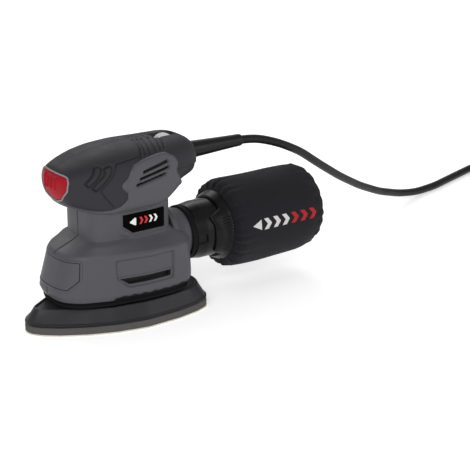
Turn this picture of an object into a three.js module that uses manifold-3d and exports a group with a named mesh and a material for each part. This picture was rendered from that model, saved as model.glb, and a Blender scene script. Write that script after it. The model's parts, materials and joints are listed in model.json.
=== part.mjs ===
// Palm-grip delta sander: a vertical motor shakes a pointed sanding pad, dust leaves by a rear port to a bag.
// Millimetres. +Z up, the pad's point looks along -X, the dust bag is at +X.
// The origin is where the motor's centre line meets the working face of the abrasive sheet.
import * as THREE from 'three';
import { mergeVertices } from 'three/addons/utils/BufferGeometryUtils.js';
import Module from 'manifold-3d';

const wasm = await Module();
wasm.setup();

// ---------------------------------------------------------------- driving dimensions
const GAP = 0.3;                 // air left between pieces that touch
const WALL = 2.4;                // housing wall
const SOFT = 1.8;                // soft-grip skin
const FACETS = 24;               // sides of a round part

const SHEET_THICK = 0.8;
const FOAM_BASE = SHEET_THICK + GAP;
const FOAM_THICK = 5;
const PLATEN_BASE = FOAM_BASE + FOAM_THICK + GAP;
const PLATEN_LIP = 3;            // upright edge at the foot of the platen
const PLATEN_TOP = 18.5;
const PLATEN_BEVEL = 6.5;        // how far the sloping sides lean in

const SKIRT_BASE = 19.2;
const BODY_BASE = 25;            // lower lip of the housing
const SHOULDER = 56;             // where the lower housing turns in towards the neck
const NECK_BASE = 65;
const NECK_TOP = 96;
const NECK_LONG = 32.5;          // half-length of the neck
const NECK_WIDE = 24;            // half-width of the neck
const NOSE = -53;                // front face of the head
const TAIL = 59;                 // rear of the head

const PORT_Z = 48.5;             // height of the dust port's centre line
const PORT_R = 19;
const PORT_BORE = 16;
const SEAL_X = 53;
const COLLAR_X = 56;
const RING_X = 72.5;
const RING_R = 26.2;
const BAG_X = 82.5;
const BAG_END = 166;
const BAG_R = 32.8;

const ECCENTRIC = 1;             // pad orbit radius
const CORD_R = 3.2;
const CORD_Z = 110;              // height at which the cord leaves the head
const RELIEF_END = 105;

// half-outlines seen from above, nose to tail; mirrored about the X axis
const PAD_HALF = [[-77, 0], [-76, 5], [-72, 10.5], [-61, 19.6], [-43, 29.6], [-24, 37], [-2, 41.4],
  [24, 40.4], [42, 37], [52, 33], [57, 26], [58.5, 16], [58.8, 0]];
const LIP_HALF = [[-60, 0], [-59.5, 10], [-56.6, 18], [-48, 26.2], [-29, 33.8], [0, 38.4], [22, 38.2],
  [37, 34.5], [43.5, 27], [45.5, 16], [46, 0]];
const SHOULDER_HALF = [[-53, 0], [-52.4, 9.5], [-49, 17.6], [-43, 23.8], [-27, 31.5], [0, 38.6], [21, 39.2],
  [35, 35], [42, 27], [44, 16], [44.5, 0]];

// stations of the head along X: position, top, underside, half-width
const HEAD = [[-53, 114.5, 96, 14], [-51, 117, 94, 16.8], [-46, 119.2, 91.6, 19.6],
  [-38.5, 122.2, 89, 23.2], [-28, 125.4, 86.8, 26.4], [-15, 127.8, 85.2, 28.6], [3, 129, 84.4, 29.2],
  [20, 128.6, 84, 28.8], [34, 126.6, 86, 27], [45, 123, 90, 23.6], [53, 118.4, 95, 19], [57.5, 114.6, 99.5, 14],
  [59.5, 111.8, 103, 9]];

// side view of the line where the soft grip ends, nose to tail
const SOFT_EDGE = [[-60, 93.8], [-51, 93], [-44, 90.6], [-36, 88.8], [-28, 88.4], [-21, 89.4], [-15, 92.6],
  [-10.4, 97.4], [-9, 106], [-5, 113.6], [3, 118.2], [19, 120.6], [25, 120.2], [30, 116], [32, 110.5],
  [32.6, 104], [36, 98], [41, 92.5], [45, 84]];

// ---------------------------------------------------------------- solids
const solidFrom = (geometry) => {
  const bare = geometry.clone();
  bare.deleteAttribute('normal');
  bare.deleteAttribute('uv');
  const merged = mergeVertices(bare, 1e-5);
  return new wasm.Manifold(new wasm.Mesh({
    numProp: 3,
    vertProperties: new Float32Array(merged.attributes.position.array),
    triVerts: new Uint32Array(merged.index.array),
  }));
};

// keeps the largest closed body of a cut
const mainBody = (solid) => {
  const bodies = solid.decompose();
  bodies.sort((a, b) => b.volume() - a.volume());
  return bodies[0];
};

const geometryFrom = (solid) => {
  const mesh = solid.getMesh();
  const geometry = new THREE.BufferGeometry();
  geometry.setAttribute('position', new THREE.BufferAttribute(new Float32Array(mesh.vertProperties), 3));
  geometry.setIndex(new THREE.BufferAttribute(new Uint32Array(mesh.triVerts), 1));
  geometry.computeVertexNormals();
  return geometry;
};

const box = (x0, x1, y0, y1, z0, z1) => {
  const geometry = new THREE.BoxGeometry(x1 - x0, y1 - y0, z1 - z0);
  geometry.translate((x0 + x1) / 2, (y0 + y1) / 2, (z0 + z1) / 2);
  return solidFrom(geometry);
};

// turned solid: profile of [radius, height], stood along +Z, +X or +Y and moved to a point
const turned = (profile, along, x, y, z, facets = FACETS) => {
  const geometry = new THREE.LatheGeometry(profile.map(([r, h]) => new THREE.Vector2(r, h)), facets);
  if (along === 'z') geometry.rotateX(Math.PI / 2);
  if (along === 'x') geometry.rotateZ(-Math.PI / 2);
  geometry.translate(x, y, z);
  const solid = solidFrom(geometry);
  if (solid.volume() > 0) return solid;
  for (let i = 0; i < geometry.index.count; i += 3) {
    const first = geometry.index.getX(i);
    geometry.index.setX(i, geometry.index.getX(i + 1));
    geometry.index.setX(i + 1, first);
  }
  return solidFrom(geometry);
};

const rod = (radius, length, along, x, y, z, facets = FACETS) =>
  turned([[0, 0], [radius, 0], [radius, length], [0, length]], along, x, y, z, facets);

const pipe = (outer, inner, length, along, x, y, z, facets = FACETS) =>
  turned([[inner, 0], [outer, 0], [outer, length], [inner, length], [inner, 0]], along, x, y, z, facets);

const shapeOf = (points) => new THREE.Shape(points.map(([a, b]) => new THREE.Vector2(a, b)));

const plateZ = (outline, z0, z1) => {
  const geometry = new THREE.ExtrudeGeometry(shapeOf(outline), { depth: z1 - z0, bevelEnabled: false });
  geometry.translate(0, 0, z0);
  return solidFrom(geometry);
};

// a side-view outline of [x, z] points carried across from y0 to y1
const plateY = (outline, y0, y1) => {
  const geometry = new THREE.ExtrudeGeometry(shapeOf(outline), { depth: y1 - y0, bevelEnabled: false });
  geometry.rotateX(Math.PI / 2);
  geometry.translate(0, y1, 0);
  return solidFrom(geometry);
};

// a front-view outline of [y, z] points carried along from x0 to x1
const plateX = (outline, x0, x1) => {
  const geometry = new THREE.ExtrudeGeometry(shapeOf(outline), { depth: x1 - x0, bevelEnabled: false });
  geometry.rotateX(Math.PI / 2);
  geometry.rotateZ(Math.PI / 2);
  geometry.translate(x0, 0, 0);
  return solidFrom(geometry);
};

// skin through a stack of closed rings with equal point counts, each end closed by a fan
const loft = (rings) => {
  const count = rings[0].length;
  const positions = rings.flat().flatMap((p) => [p.x, p.y, p.z]);
  const middle = (ring) => ring.reduce((sum, p) => sum.add(p), new THREE.Vector3()).divideScalar(count);
  const foot = middle(rings[0]);
  const head = middle(rings[rings.length - 1]);
  positions.push(foot.x, foot.y, foot.z, head.x, head.y, head.z);
  const footIndex = rings.length * count;
  const last = (rings.length - 1) * count;
  const faces = [];
  for (let j = 0; j < count; j += 1) {
    const k = (j + 1) % count;
    for (let i = 0; i < rings.length - 1; i += 1) {
      const a = i * count;
      const b = a + count;
      faces.push(a + j, a + k, b + k, a + j, b + k, b + j);
    }
    faces.push(footIndex, k, j);
    faces.push(footIndex + 1, last + j, last + k);
  }
  const geometry = new THREE.BufferGeometry();
  geometry.setAttribute('position', new THREE.BufferAttribute(new Float32Array(positions), 3));
  geometry.setIndex(faces);
  return solidFrom(geometry);
};

// ---------------------------------------------------------------- outlines
const mirrored = (half) => {
  const back = half.slice(1, -1).reverse().map(([x, y]) => [x, -y]);
  return [...half.map(([x, y]) => [x, y]), ...back].reverse();
};

// smooth closed curve through the mirrored half-outline, moved inwards by an inset
const outline = (half, inset = 0, count = 38) => {
  const loop = mirrored(half).map(([x, y]) => new THREE.Vector3(x, y, 0));
  const curve = new THREE.CatmullRomCurve3(loop, true, 'centripetal');
  const points = curve.getSpacedPoints(count).slice(0, count);
  return points.map((p, i) => {
    const before = points[(i + count - 1) % count];
    const after = points[(i + 1) % count];
    const along = after.clone().sub(before).normalize();
    return [p.x - along.y * inset, p.y + along.x * inset];
  });
};

// outward offset of an open or closed run of points, to leave air beside a cut edge
const shifted = (points, distance) => points.map(([x, z], i) => {
  const before = points[Math.max(i - 1, 0)];
  const after = points[Math.min(i + 1, points.length - 1)];
  const length = Math.hypot(after[0] - before[0], after[1] - before[1]);
  return [x + (after[1] - before[1]) / length * distance, z - (after[0] - before[0]) / length * distance];
});

const blend = (a, b, t) => a.map(([x, y], i) => [x + (b[i][0] - x) * t, y + (b[i][1] - y) * t]);

// rounded-box ring: half-sizes a and b, roundness n, in the plane given by place(u, v)
const squircle = (a, b, n, count, place) => Array.from({ length: count }, (_, i) => {
  const angle = (i + 0.5) * 2 * Math.PI / count;
  const c = Math.cos(angle);
  const s = Math.sin(angle);
  return place(a * Math.sign(c) * Math.abs(c) ** (2 / n), b * Math.sign(s) * Math.abs(s) ** (2 / n));
});

// ---------------------------------------------------------------- outer forms
const HEAD_ROUND = 2.7;
const headForm = (inset) => {
  const stations = HEAD.map(([x, top, under, wide]) => {
    const pulled = x < 0 ? Math.max(x, NOSE + inset) : Math.min(x, TAIL + 0.5 - inset);
    const half = Math.max((top - under) / 2 - inset, 1);
    return { pulled, middle: (top + under) / 2, half, wide: Math.max(wide - inset, 1) };
  });
  const kept = stations.filter((s, i) => i === 0 || s.pulled - stations[i - 1].pulled > 0.2);
  return loft(kept.map((s) => squircle(s.wide, s.half, HEAD_ROUND, 26,
    (y, z) => new THREE.Vector3(s.pulled, y, s.middle + z))));
};

const ring3 = (flat, z) => flat.map(([x, y]) => new THREE.Vector3(x, y, z));

const neckRing = (inset, grow, count, like) => like.map(([x, y]) => {
  const angle = Math.atan2(y / NECK_WIDE, (x + 4) / NECK_LONG);
  const c = Math.cos(angle);
  const s = Math.sin(angle);
  const round = 2 / 5.5;
  return [(NECK_LONG + grow - inset) * Math.sign(c) * Math.abs(c) ** round,
    (NECK_WIDE + grow - inset) * Math.sign(s) * Math.abs(s) ** round];
});

// lower housing and neck as one upright form
const bodyForm = (inset, base) => {
  const lip = outline(LIP_HALF, inset);
  const shoulder = outline(SHOULDER_HALF, inset);
  const neck = neckRing(inset, 0, lip.length, shoulder);
  const flare = neckRing(inset, 4, lip.length, shoulder);
  return loft([ring3(lip, base), ring3(lip, BODY_BASE + 4), ring3(shoulder, SHOULDER - inset / 2),
    ring3(blend(shoulder, flare, 0.16), SHOULDER + 1.6 - inset / 2),
    ring3(blend(shoulder, flare, 0.82), NECK_BASE - 2.2 - inset / 2),
    ring3(flare, NECK_BASE - 0.6 - inset / 2), ring3(blend(flare, neck, 0.7), NECK_BASE + 1.6 - inset / 2),
    ring3(neck, NECK_BASE + 5 - inset / 2), ring3(neck, NECK_TOP)]);
};

const softZone = (grow) => plateY([...shifted(SOFT_EDGE, grow), [75, 84], [75, 140], [-75, 140], [-75, 93.4]]
  .reverse(), -40, 40);

// ---------------------------------------------------------------- switch
const BOOT_FACE = [[-14.6, 112.4], [-13, 115], [13, 115], [14.6, 112.4], [14.6, 103.6], [11.6, 98.6],
  [5.6, 95.6], [0, 94.9], [-5.6, 95.6], [-11.6, 98.6], [-14.6, 103.6]];
const BOOT_BACK = -47.5;
const BOOT_CLEAR = 1.055;        // size of the opening around the boot
const SWITCH_Z = 106;            // rocker pivot height
const SWITCH_X = -42.9;          // front face of the switch body

const grown = (points, about, factor) => points.map(([a, b]) => [
  about[0] + (a - about[0]) * factor, about[1] + (b - about[1]) * factor]);
const bootZone = (factor, back) => plateX(grown(BOOT_FACE, [0, 105.3], factor), -70, back);
const bootSolid = () => headForm(0).intersect(bootZone(1, BOOT_BACK));
const rockerSolid = () => box(SWITCH_X - 4.3, SWITCH_X - 0.5, -6, 6, SWITCH_Z - 5.5, SWITCH_Z + 5.5);
const switchSolid = () => box(SWITCH_X, -24.5, -9, 9, SWITCH_Z - 7.5, SWITCH_Z + 8.5)
  .add(box(-24.6, -19.5, -6.5, -5.5, 103, 108))
  .add(box(-24.6, -19.5, 5.5, 6.5, 103, 108));

// ---------------------------------------------------------------- housing
const VENTS = [[[4, 110], [25.6, 114.4]], [[1.5, 106], [25.6, 110.2]], [[-1, 102.2], [22.6, 106]]];
const VENT_HALF = 1.1;           // half-height of a vent slot
const LOUVRE = [[-21.5, 41.2], [19.8, 41.2], [19.2, 36.4], [-13.5, 36.2]];
const NOSE_PANEL = [[-80, 51.6], [-46.2, 51.6], [-46.2, 39.5], [-54.5, 33], [-80, 33]];
const PANEL_THICK = 1.4;
const BADGE = [[-10.9, 81.4], [22.6, 81.4], [22.4, 67.6], [-3.2, 67.6], [-10.9, 74]];
const BADGE_FLOOR = 22.4;        // depth of the badge pocket from the middle plane
const BADGE_FACE = 24.2;
const SCREWS = [[-36, 94], [46.5, 98], [-36.5, 57.6], [26.4, 74]];
const SCREW_R = 2;
const SCREW_HEAD_R = 3.2;
const SCREW_HEAD_Y = 10.4;
const BOSS_R = 3.7;
const DIAL = { x: 38.5, z: 117.6, r: 10, wide: 4 };
const RELIEF_R = 5;              // neck of the strain relief inside its hole
const RELIEF_FLANGE = 6.4;

const ventZone = ([[x0, z0], [x1, z1]]) => plateY([[x0, z0 - VENT_HALF], [x1, z1 - VENT_HALF],
  [x1, z1 + VENT_HALF], [x0, z0 + VENT_HALF]], -40, 40);
const badgeZone = (grow, floor, face) => plateY(grown(BADGE, [6, 74.5], grow).reverse(), -face, face)
  .subtract(box(-60, 60, -floor, floor, 50, 100));
const dialSlot = () => box(28.4, 48.6, -DIAL.wide - 0.5, DIAL.wide + 0.5, 108, 140);

// dust port ring clamped between the halves, with a flare where it leaves the wall
const portSolid = () => turned([[PORT_BORE, 0], [PORT_R, 0], [PORT_R, 12.5], [PORT_R + 3, 12.5],
  [PORT_R + 2.4, 14.5], [PORT_R, 18], [PORT_R, 27], [PORT_BORE, 27], [PORT_BORE, 0]], 'x', 34, 0, PORT_Z);

const bearingSeat = () => pipe(12.4, 9.5 + GAP, 8, 'z', 0, 0, 110.5)
  .add(box(-1.2, 1.2, -28, -12, 110.5, 118.5))
  .add(box(-1.2, 1.2, 12, 28, 110.5, 118.5));

// outer skin of the nose panel, or the pocket it sits in when grown
const panelZone = (grow) => bodyForm(-1, BODY_BASE - 3).subtract(bodyForm(PANEL_THICK + grow, BODY_BASE - 3))
  .intersect(plateY(grown(NOSE_PANEL, [-70, 42.3], 1 + grow / 24).reverse(), -60, 60));
const panelSolid = () => mainBody(bodyForm(0, BODY_BASE).subtract(bodyForm(PANEL_THICK, BODY_BASE - 3))
  .intersect(plateY([...NOSE_PANEL].reverse(), -60, 60)));

const housing = () => {
  const outside = headForm(0).subtract(softZone(GAP / 2)).add(headForm(SOFT)).add(bodyForm(0, BODY_BASE));
  let shell = outside.subtract(headForm(SOFT + WALL)).subtract(bodyForm(WALL, BODY_BASE - 4));
  SCREWS.forEach(([x, z]) => {
    shell = shell.add(rod(BOSS_R, 80, 'y', x, -40, z, 16).intersect(outside));
  });
  shell = shell.add(bearingSeat().intersect(outside));
  shell = shell.subtract(rod(PORT_R + GAP, 40, 'x', 30, 0, PORT_Z));
  shell = shell.subtract(bootZone(BOOT_CLEAR, BOOT_BACK + 6));
  VENTS.forEach((slot) => {
    shell = shell.subtract(ventZone(slot));
  });
  shell = shell.subtract(plateY(LOUVRE, -60, 60));
  shell = shell.subtract(panelZone(GAP)).subtract(badgeZone(1.015, BADGE_FLOOR - GAP, 60));
  shell = shell.subtract(dialSlot()).subtract(rod(RELIEF_R + GAP, 30, 'x', 50, 0, CORD_Z, 24))
    .subtract(rod(RELIEF_FLANGE + GAP, 3, 'x', 51.9, 0, CORD_Z, 24));
  SCREWS.forEach(([x, z]) => {
    shell = shell.subtract(rod(SCREW_R + GAP, 24, 'y', x, -12, z, 16));
    shell = shell.subtract(rod(SCREW_HEAD_R + GAP, 60, 'y', x, SCREW_HEAD_Y - GAP, z, 16));
  });
  return shell;
};

const softGrip = () => headForm(0).intersect(softZone(-GAP / 2)).subtract(headForm(SOFT - GAP))
  .subtract(bootZone(BOOT_CLEAR, BOOT_BACK + 6))
  .subtract(dialSlot())
  .subtract(rod(7, 30, 'x', 50, 0, CORD_Z, 24))
  .subtract(bodyForm(-GAP, BODY_BASE))
  .subtract(SCREWS.map(([x, z]) => rod(SCREW_HEAD_R + GAP, 60, 'y', x, SCREW_HEAD_Y, z, 16))
    .reduce((all, hole) => all.add(hole)));

const halfOf = (solid, side) => mainBody(solid.intersect(side < 0
  ? box(-90, 90, -70, -GAP / 2, -10, 160)
  : box(-90, 90, GAP / 2, 70, -10, 160)));

const screwSolid = ([x, z]) => rod(SCREW_R, SCREW_HEAD_Y + 11.5, 'y', x, -11.5, z, 12)
  .add(rod(SCREW_HEAD_R, 2.5, 'y', x, SCREW_HEAD_Y, z, 12));

const dialSolid = () => rod(DIAL.r, DIAL.wide * 2, 'y', DIAL.x, -DIAL.wide, DIAL.z, 36)
  .add(rod(1.6, 14, 'y', DIAL.x, -7, DIAL.z, 12));

// ---------------------------------------------------------------- motor
const CORE = { outer: 20.6, bore: 12.2, z0: 68, z1: 92 };
const COIL = { outer: 18.4, inner: 13.5, z0: 62.4, z1: 98, half: 14, leg: 7.5 };
const SHAFT_R = 4;

const coilZone = (side, grow) => {
  const span = COIL.z1 - COIL.z0 + 2 * grow;
  const curved = pipe(COIL.outer + grow, COIL.inner - grow, span, 'z', 0, 0, COIL.z0 - grow);
  const near = 4 - grow;
  const zone = side < 0
    ? box(-COIL.half - grow, COIL.half + grow, -30, -near, 50, 110)
    : box(-COIL.half - grow, COIL.half + grow, near, 30, 50, 110);
  return curved.intersect(zone)
    .subtract(box(-COIL.leg + grow, COIL.leg - grow, -40, 40, CORE.z0 - GAP + grow, CORE.z1 + GAP - grow));
};

const fieldCore = () => mainBody(pipe(CORE.outer, CORE.bore, CORE.z1 - CORE.z0, 'z', 0, 0, CORE.z0)
  .subtract(coilZone(-1, GAP))
  .subtract(coilZone(1, GAP)));

const FAN = { r: 25, z0: 54.8, blades: 9 };
const fanSolid = () => {
  let fan = pipe(FAN.r, SHAFT_R + GAP, 1.6, 'z', 0, 0, FAN.z0 + 5.4).add(
    pipe(8, SHAFT_R + GAP, 7, 'z', 0, 0, FAN.z0));
  for (let i = 0; i < FAN.blades; i += 1) {
    const blade = box(7, FAN.r - 0.6, -0.8, 0.8, FAN.z0, FAN.z0 + 5.6);
    fan = fan.add(blade.rotate([0, 0, i * 360 / FAN.blades]));
  }
  return fan;
};

const shaftSolid = () => rod(SHAFT_R, 83, 'z', 0, 0, 35, 24);

// hub on the shaft's foot with a counterweight on one side and an offset pin below
const eccentricSolid = () => {
  const weight = pipe(21, 7, 7, 'z', 0, 0, 34.5).intersect(box(-30, -3, -30, 30, 30, 45));
  return rod(9, 11.5, 'z', 0, 0, 31, 24).add(weight)
    .subtract(rod(SHAFT_R + GAP, 12, 'z', 0, 0, 34.7, 24))
    .add(rod(SHAFT_R - 0.1, 9.5, 'z', ECCENTRIC, 0, 21.8, 24))
    .subtract(rod(1.7, 8, 'z', ECCENTRIC, 0, 21, 12));
};

const padScrew = () => rod(5.6, 2.6, 'z', ECCENTRIC, 0, 18.6, 16).add(rod(1.4, 7, 'z', ECCENTRIC, 0, 21, 12));

const brushSolid = (side) => (side < 0 ? box(-18.3, -8.3, -2.5, 2.5, 99.4, 105.4)
  : box(8.3, 18.3, -2.5, 2.5, 99.4, 105.4));
const brushSpring = (side) => rod(2, 3.2, 'x', side < 0 ? -21.8 : 18.6, 0, 102.4, 12);
const brushHolder = (side) => {
  const [x0, x1] = side < 0 ? [-23.4, -10.2] : [10.2, 23.4];
  const [c0, c1] = side < 0 ? [-22.1, -9] : [9, 22.1];
  return box(x0, x1, -3.8, 3.8, 98.2, 106.6).subtract(box(c0, c1, -2.8, 2.8, 99.1, 105.7));
};

const bearingPlate = () => bodyForm(WALL + GAP, BODY_BASE).intersect(box(-90, 90, -70, 70, 51.6, 53.6))
  .subtract(rod(PORT_BORE + 4.5, 60, 'x', 27, 0, PORT_Z))
  .add(rod(13.4, 10.4, 'z', 0, 0, 43.2))
  .subtract(rod(11 + GAP, 8.2, 'z', 0, 0, 43))
  .subtract(rod(SHAFT_R + 1, 30, 'z', 0, 0, 40, 20));

// ---------------------------------------------------------------- pad
const POSTS = [[-34, -12], [-34, 12], [17, -26], [17, 26]];
const POST_R = 4.2;
const DUST_HOLES = [[-55, 0], [-25, -21], [-25, 21], [-3, -27], [-3, 27], [44, -16], [44, 16]];
const DUST_HOLE_R = 4;

const dustHoles = () => DUST_HOLES.map(([x, y]) => rod(DUST_HOLE_R, 60, 'z', x, y, -10, 12))
  .reduce((all, hole) => all.add(hole));

const padLayer = (inset, z0, z1) => loft([ring3(outline(PAD_HALF, inset), z0),
  ring3(outline(PAD_HALF, inset), z1)]).subtract(dustHoles());

const platenSolid = () => {
  const foot = outline(PAD_HALF, 0.2);
  const top = outline(PAD_HALF, PLATEN_BEVEL);
  return loft([ring3(foot, PLATEN_BASE), ring3(foot, PLATEN_BASE + PLATEN_LIP), ring3(top, PLATEN_TOP)])
    .add(rod(14, 11.5, 'z', ECCENTRIC, 0, PLATEN_TOP - 1))
    .subtract(rod(11 + GAP, 12, 'z', ECCENTRIC, 0, 22 - GAP))
    .subtract(rod(7.5, 30, 'z', ECCENTRIC, 0, 0, 24))
    .subtract(dustHoles());
};

const skirtSolid = () => loft([ring3(outline(LIP_HALF, 2.9), SKIRT_BASE), ring3(outline(LIP_HALF, 2.9), 27.6)])
  .subtract(loft([ring3(outline(LIP_HALF, 4.7), SKIRT_BASE - 1), ring3(outline(LIP_HALF, 4.7), 29)]))
  .intersect(box(-90, 90, -70, 70, 0, 60));

// ---------------------------------------------------------------- dust port
const sealSolid = () => pipe(PORT_R + 2, PORT_R + GAP, 3, 'x', SEAL_X - 0.4, 0, PORT_Z);

const collarSolid = () => turned([[PORT_R + GAP, 0], [21.4, 0], [21.4, 4], [23.2, 9], [23.2, 16], [PORT_BORE + 1, 16],
  [PORT_BORE + 1, 6.4], [PORT_R + GAP, 6.4], [PORT_R + GAP, 0]], 'x', COLLAR_X, 0, PORT_Z);

const ringSolid = () => turned([[23.2 + GAP, 0], [RING_R - 1, 0], [RING_R, 1.4], [RING_R, 9.4],
  [17, 9.4], [17, 0.2], [23.2 + GAP, 0.2], [23.2 + GAP, 0]].map(([r, h]) => [r, h]), 'x', RING_X, 0, PORT_Z);

const BAG_SKIN = 1.2;
const bagSolid = () => {
  const long = BAG_END - BAG_X;
  const skin = [[17.4, 0], [29, 0.4], [BAG_R - 1, 5], [BAG_R, 14], [BAG_R, long - 14], [BAG_R - 5.5, long - 4.5],
    [20, long - 0.6], [0, long]];
  const inner = [[0, long - BAG_SKIN], [19.6, long - 1.8], [BAG_R - 6.6, long - 5.4],
    [BAG_R - BAG_SKIN, long - 14.6], [BAG_R - BAG_SKIN, 14.4], [BAG_R - 2.2, 6], [28.6, 1.6], [17.4, 1.2], [17.4, 0]];
  return turned([...skin, ...inner], 'x', BAG_X, 0, PORT_Z);
};

// ---------------------------------------------------------------- mains cord
const CORD_ROUTE = [[49, 0, 110], [64, 0, 110], [80, 0, 110], [96, 0, 110], [105, 0, 110], [114, 0.3, 109.3],
  [124, 0.8, 107.4], [144, 3, 100], [167, 8, 88.5], [193, 16, 71.3], [223.5, 28, 52.6], [256, 42, 35],
  [289, 55, 20], [320, 65, 9.6], [345, 71, 4.4], [372, 76.5, 3.5], [404, 86.8, 3.5], [436, 97, 3.5],
  [456, 102.2, 3.5], [476, 105.5, 3.5]];
const COIL_X = 505;
const COIL_Y = 62;
const COIL_MEAN = 38;
const COIL_HALF = 9.8;           // half-width of the wound bundle
const COIL_HIGH = 18.4;
const PLUG_X = 574;
const PLUG_Y = 103.3;

const cordSolid = () => {
  const curve = new THREE.CatmullRomCurve3(CORD_ROUTE.map(([x, y, z]) => new THREE.Vector3(x, y, z)));
  const section = new THREE.Shape();
  for (let i = 0; i < 10; i += 1) {
    const angle = i * Math.PI / 5;
    const point = [CORD_R * Math.cos(angle), CORD_R * Math.sin(angle)];
    if (i === 0) section.moveTo(...point);
    else section.lineTo(...point);
  }
  return solidFrom(new THREE.ExtrudeGeometry(section, { steps: 46, extrudePath: curve, bevelEnabled: false }));
};

const reliefSolid = () => turned([[CORD_R + GAP, 0], [RELIEF_FLANGE, 0], [RELIEF_FLANGE, 2.4],
  [RELIEF_R, 2.4], [RELIEF_R, 9.8],
  [6.3, 10], [4.3, RELIEF_END - 52.2], [CORD_R + GAP, RELIEF_END - 52.2], [CORD_R + GAP, 0]], 'x', 52.2, 0, CORD_Z, 24);

const clampSolid = () => box(46.4, 51.8, -8, 8, 103.6, 106.4)
  .subtract(rod(1.6, 8, 'z', 49.1, -6, 100, 12))
  .subtract(rod(1.6, 8, 'z', 49.1, 6, 100, 12));

const coiledCord = () => {
  const low = [COIL_MEAN - COIL_HALF, COIL_MEAN + COIL_HALF];
  return turned([[low[0] + 3, 0.3], [low[1] - 3, 0.3], [low[1], 4], [low[1], COIL_HIGH - 4],
    [low[1] - 3, COIL_HIGH], [low[0] + 3, COIL_HIGH], [low[0], COIL_HIGH - 4], [low[0], 4],
    [low[0] + 3, 0.3]], 'z', COIL_X, COIL_Y, 0)
    .add(rod(CORD_R, PLUG_X - 22.3 - COIL_X, 'x', COIL_X, PLUG_Y, 11.2, 12));
};

const tieSolid = () => {
  const x0 = COIL_X - 4;
  const y0 = COIL_Y - COIL_MEAN - COIL_HALF - 1.6;
  const y1 = COIL_Y - COIL_MEAN + COIL_HALF + 1.6;
  const band = box(x0, x0 + 8, y0, y1, 0.05, COIL_HIGH + 1.2);
  return band.subtract(turned([[COIL_MEAN - COIL_HALF - GAP, 0.2], [COIL_MEAN + COIL_HALF + GAP, 0.2],
    [COIL_MEAN + COIL_HALF + GAP, COIL_HIGH + GAP], [COIL_MEAN - COIL_HALF - GAP, COIL_HIGH + GAP],
    [COIL_MEAN - COIL_HALF - GAP, 0.2]], 'z', COIL_X, COIL_Y, 0, 64));
};

const plugSolid = () => plateZ([[-22, -6], [-16, -12], [4, -18], [18, -18], [18, 18], [4, 18], [-16, 12], [-22, 6]]
  .map(([x, y]) => [PLUG_X + x, PLUG_Y + y]), 0.3, 25)
  .subtract(rod(2.4 + GAP, 12, 'x', PLUG_X + 10, PLUG_Y - 9.5, 12.6, 16))
  .subtract(rod(2.4 + GAP, 12, 'x', PLUG_X + 10, PLUG_Y + 9.5, 12.6, 16));
const pinSolid = (side) => rod(2.4, 27, 'x', PLUG_X + 10.3, PLUG_Y + side * 9.5, 12.6, 16);

// ---------------------------------------------------------------- materials
const material = (colour, roughness, metalness = 0) =>
  new THREE.MeshStandardMaterial({ color: colour, roughness, metalness });
const nylon = () => material(0x5a595d, 0.55);
const softRubber = () => material(0x3a393d, 0.8);
const redRubber = () => material(0xa8242c, 0.6);
const blackPlastic = () => material(0x232326, 0.5);
const palePlastic = () => material(0xb9bbbd, 0.45);
const steel = () => material(0xb4b7ba, 0.35, 1);
const zinc = () => material(0x8d9196, 0.45, 1);
const brass = () => material(0xb8974a, 0.35, 1);
const copper = () => material(0xb4633a, 0.4, 1);
const laminated = () => material(0x5c6064, 0.5, 1);
const carbon = () => material(0x2b2b2c, 0.9);
const foam = () => material(0x77787a, 0.95);
const grit = () => material(0xc9c3b6, 0.95);
const cloth = () => material(0x17171a, 0.95);
const greenBoard = () => material(0x2c5a3c, 0.6);
const badgePlastic = () => material(0x0c0c0e, 0.3);

// ---------------------------------------------------------------- the assembly
const sander = new THREE.Group();
sander.name = 'detail_sander';

const place = (name, solid, look) => {
  const mesh = new THREE.Mesh(geometryFrom(solid), look);
  mesh.name = name;
  look.name = name;
  sander.add(mesh);
};

const wholeHousing = housing();
place('housing_left', halfOf(wholeHousing, -1), nylon());
place('housing_right', halfOf(wholeHousing, 1), nylon());
place('nose_panel', panelSolid(), nylon());
const wholeGrip = softGrip();
place('soft_grip_left', halfOf(wholeGrip, -1), softRubber());
place('soft_grip_right', halfOf(wholeGrip, 1), softRubber());
place('badge_left', badgeZone(1, BADGE_FLOOR, BADGE_FACE).intersect(box(-60, 60, -60, 0, 0, 150)), badgePlastic());
place('badge_right', badgeZone(1, BADGE_FLOOR, BADGE_FACE).intersect(box(-60, 60, 0, 60, 0, 150)), badgePlastic());
SCREWS.forEach((at, i) => place(`housing_screw_${i + 1}`, screwSolid(at), steel()));

place('switch_boot', bootSolid(), redRubber());
place('switch_rocker', rockerSolid(), blackPlastic());
place('switch_body', switchSolid(), blackPlastic());
place('speed_dial', dialSolid(), palePlastic());
place('speed_board', box(25, 26.6, -13, 13, 99, 120), greenBoard());

place('field_core', fieldCore(), laminated());
place('field_coil_left', mainBody(coilZone(-1, 0)), copper());
place('field_coil_right', mainBody(coilZone(1, 0)), copper());
place('rotor_shaft', shaftSolid(), steel());
place('armature_core', pipe(11.6, SHAFT_R + GAP, 22, 'z', 0, 0, 69), laminated());
place('armature_winding_upper', pipe(10.4, SHAFT_R + GAP, 4.6, 'z', 0, 0, 91.3), copper());
place('armature_winding_lower', pipe(10.4, SHAFT_R + GAP, 4.6, 'z', 0, 0, 64.1), copper());
place('commutator', pipe(8, SHAFT_R + GAP, 11, 'z', 0, 0, 97), copper());
place('upper_bearing', pipe(9.5, SHAFT_R + GAP, 6, 'z', 0, 0, 111.5), steel());
place('lower_bearing', pipe(11, SHAFT_R + GAP, 7, 'z', 0, 0, 43.8), steel());
place('cooling_fan', fanSolid(), blackPlastic());
place('bearing_plate', bearingPlate(), zinc());
place('eccentric', eccentricSolid(), zinc());
place('pad_bearing', pipe(11, SHAFT_R + GAP, 7, 'z', ECCENTRIC, 0, 22), steel());
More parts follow.
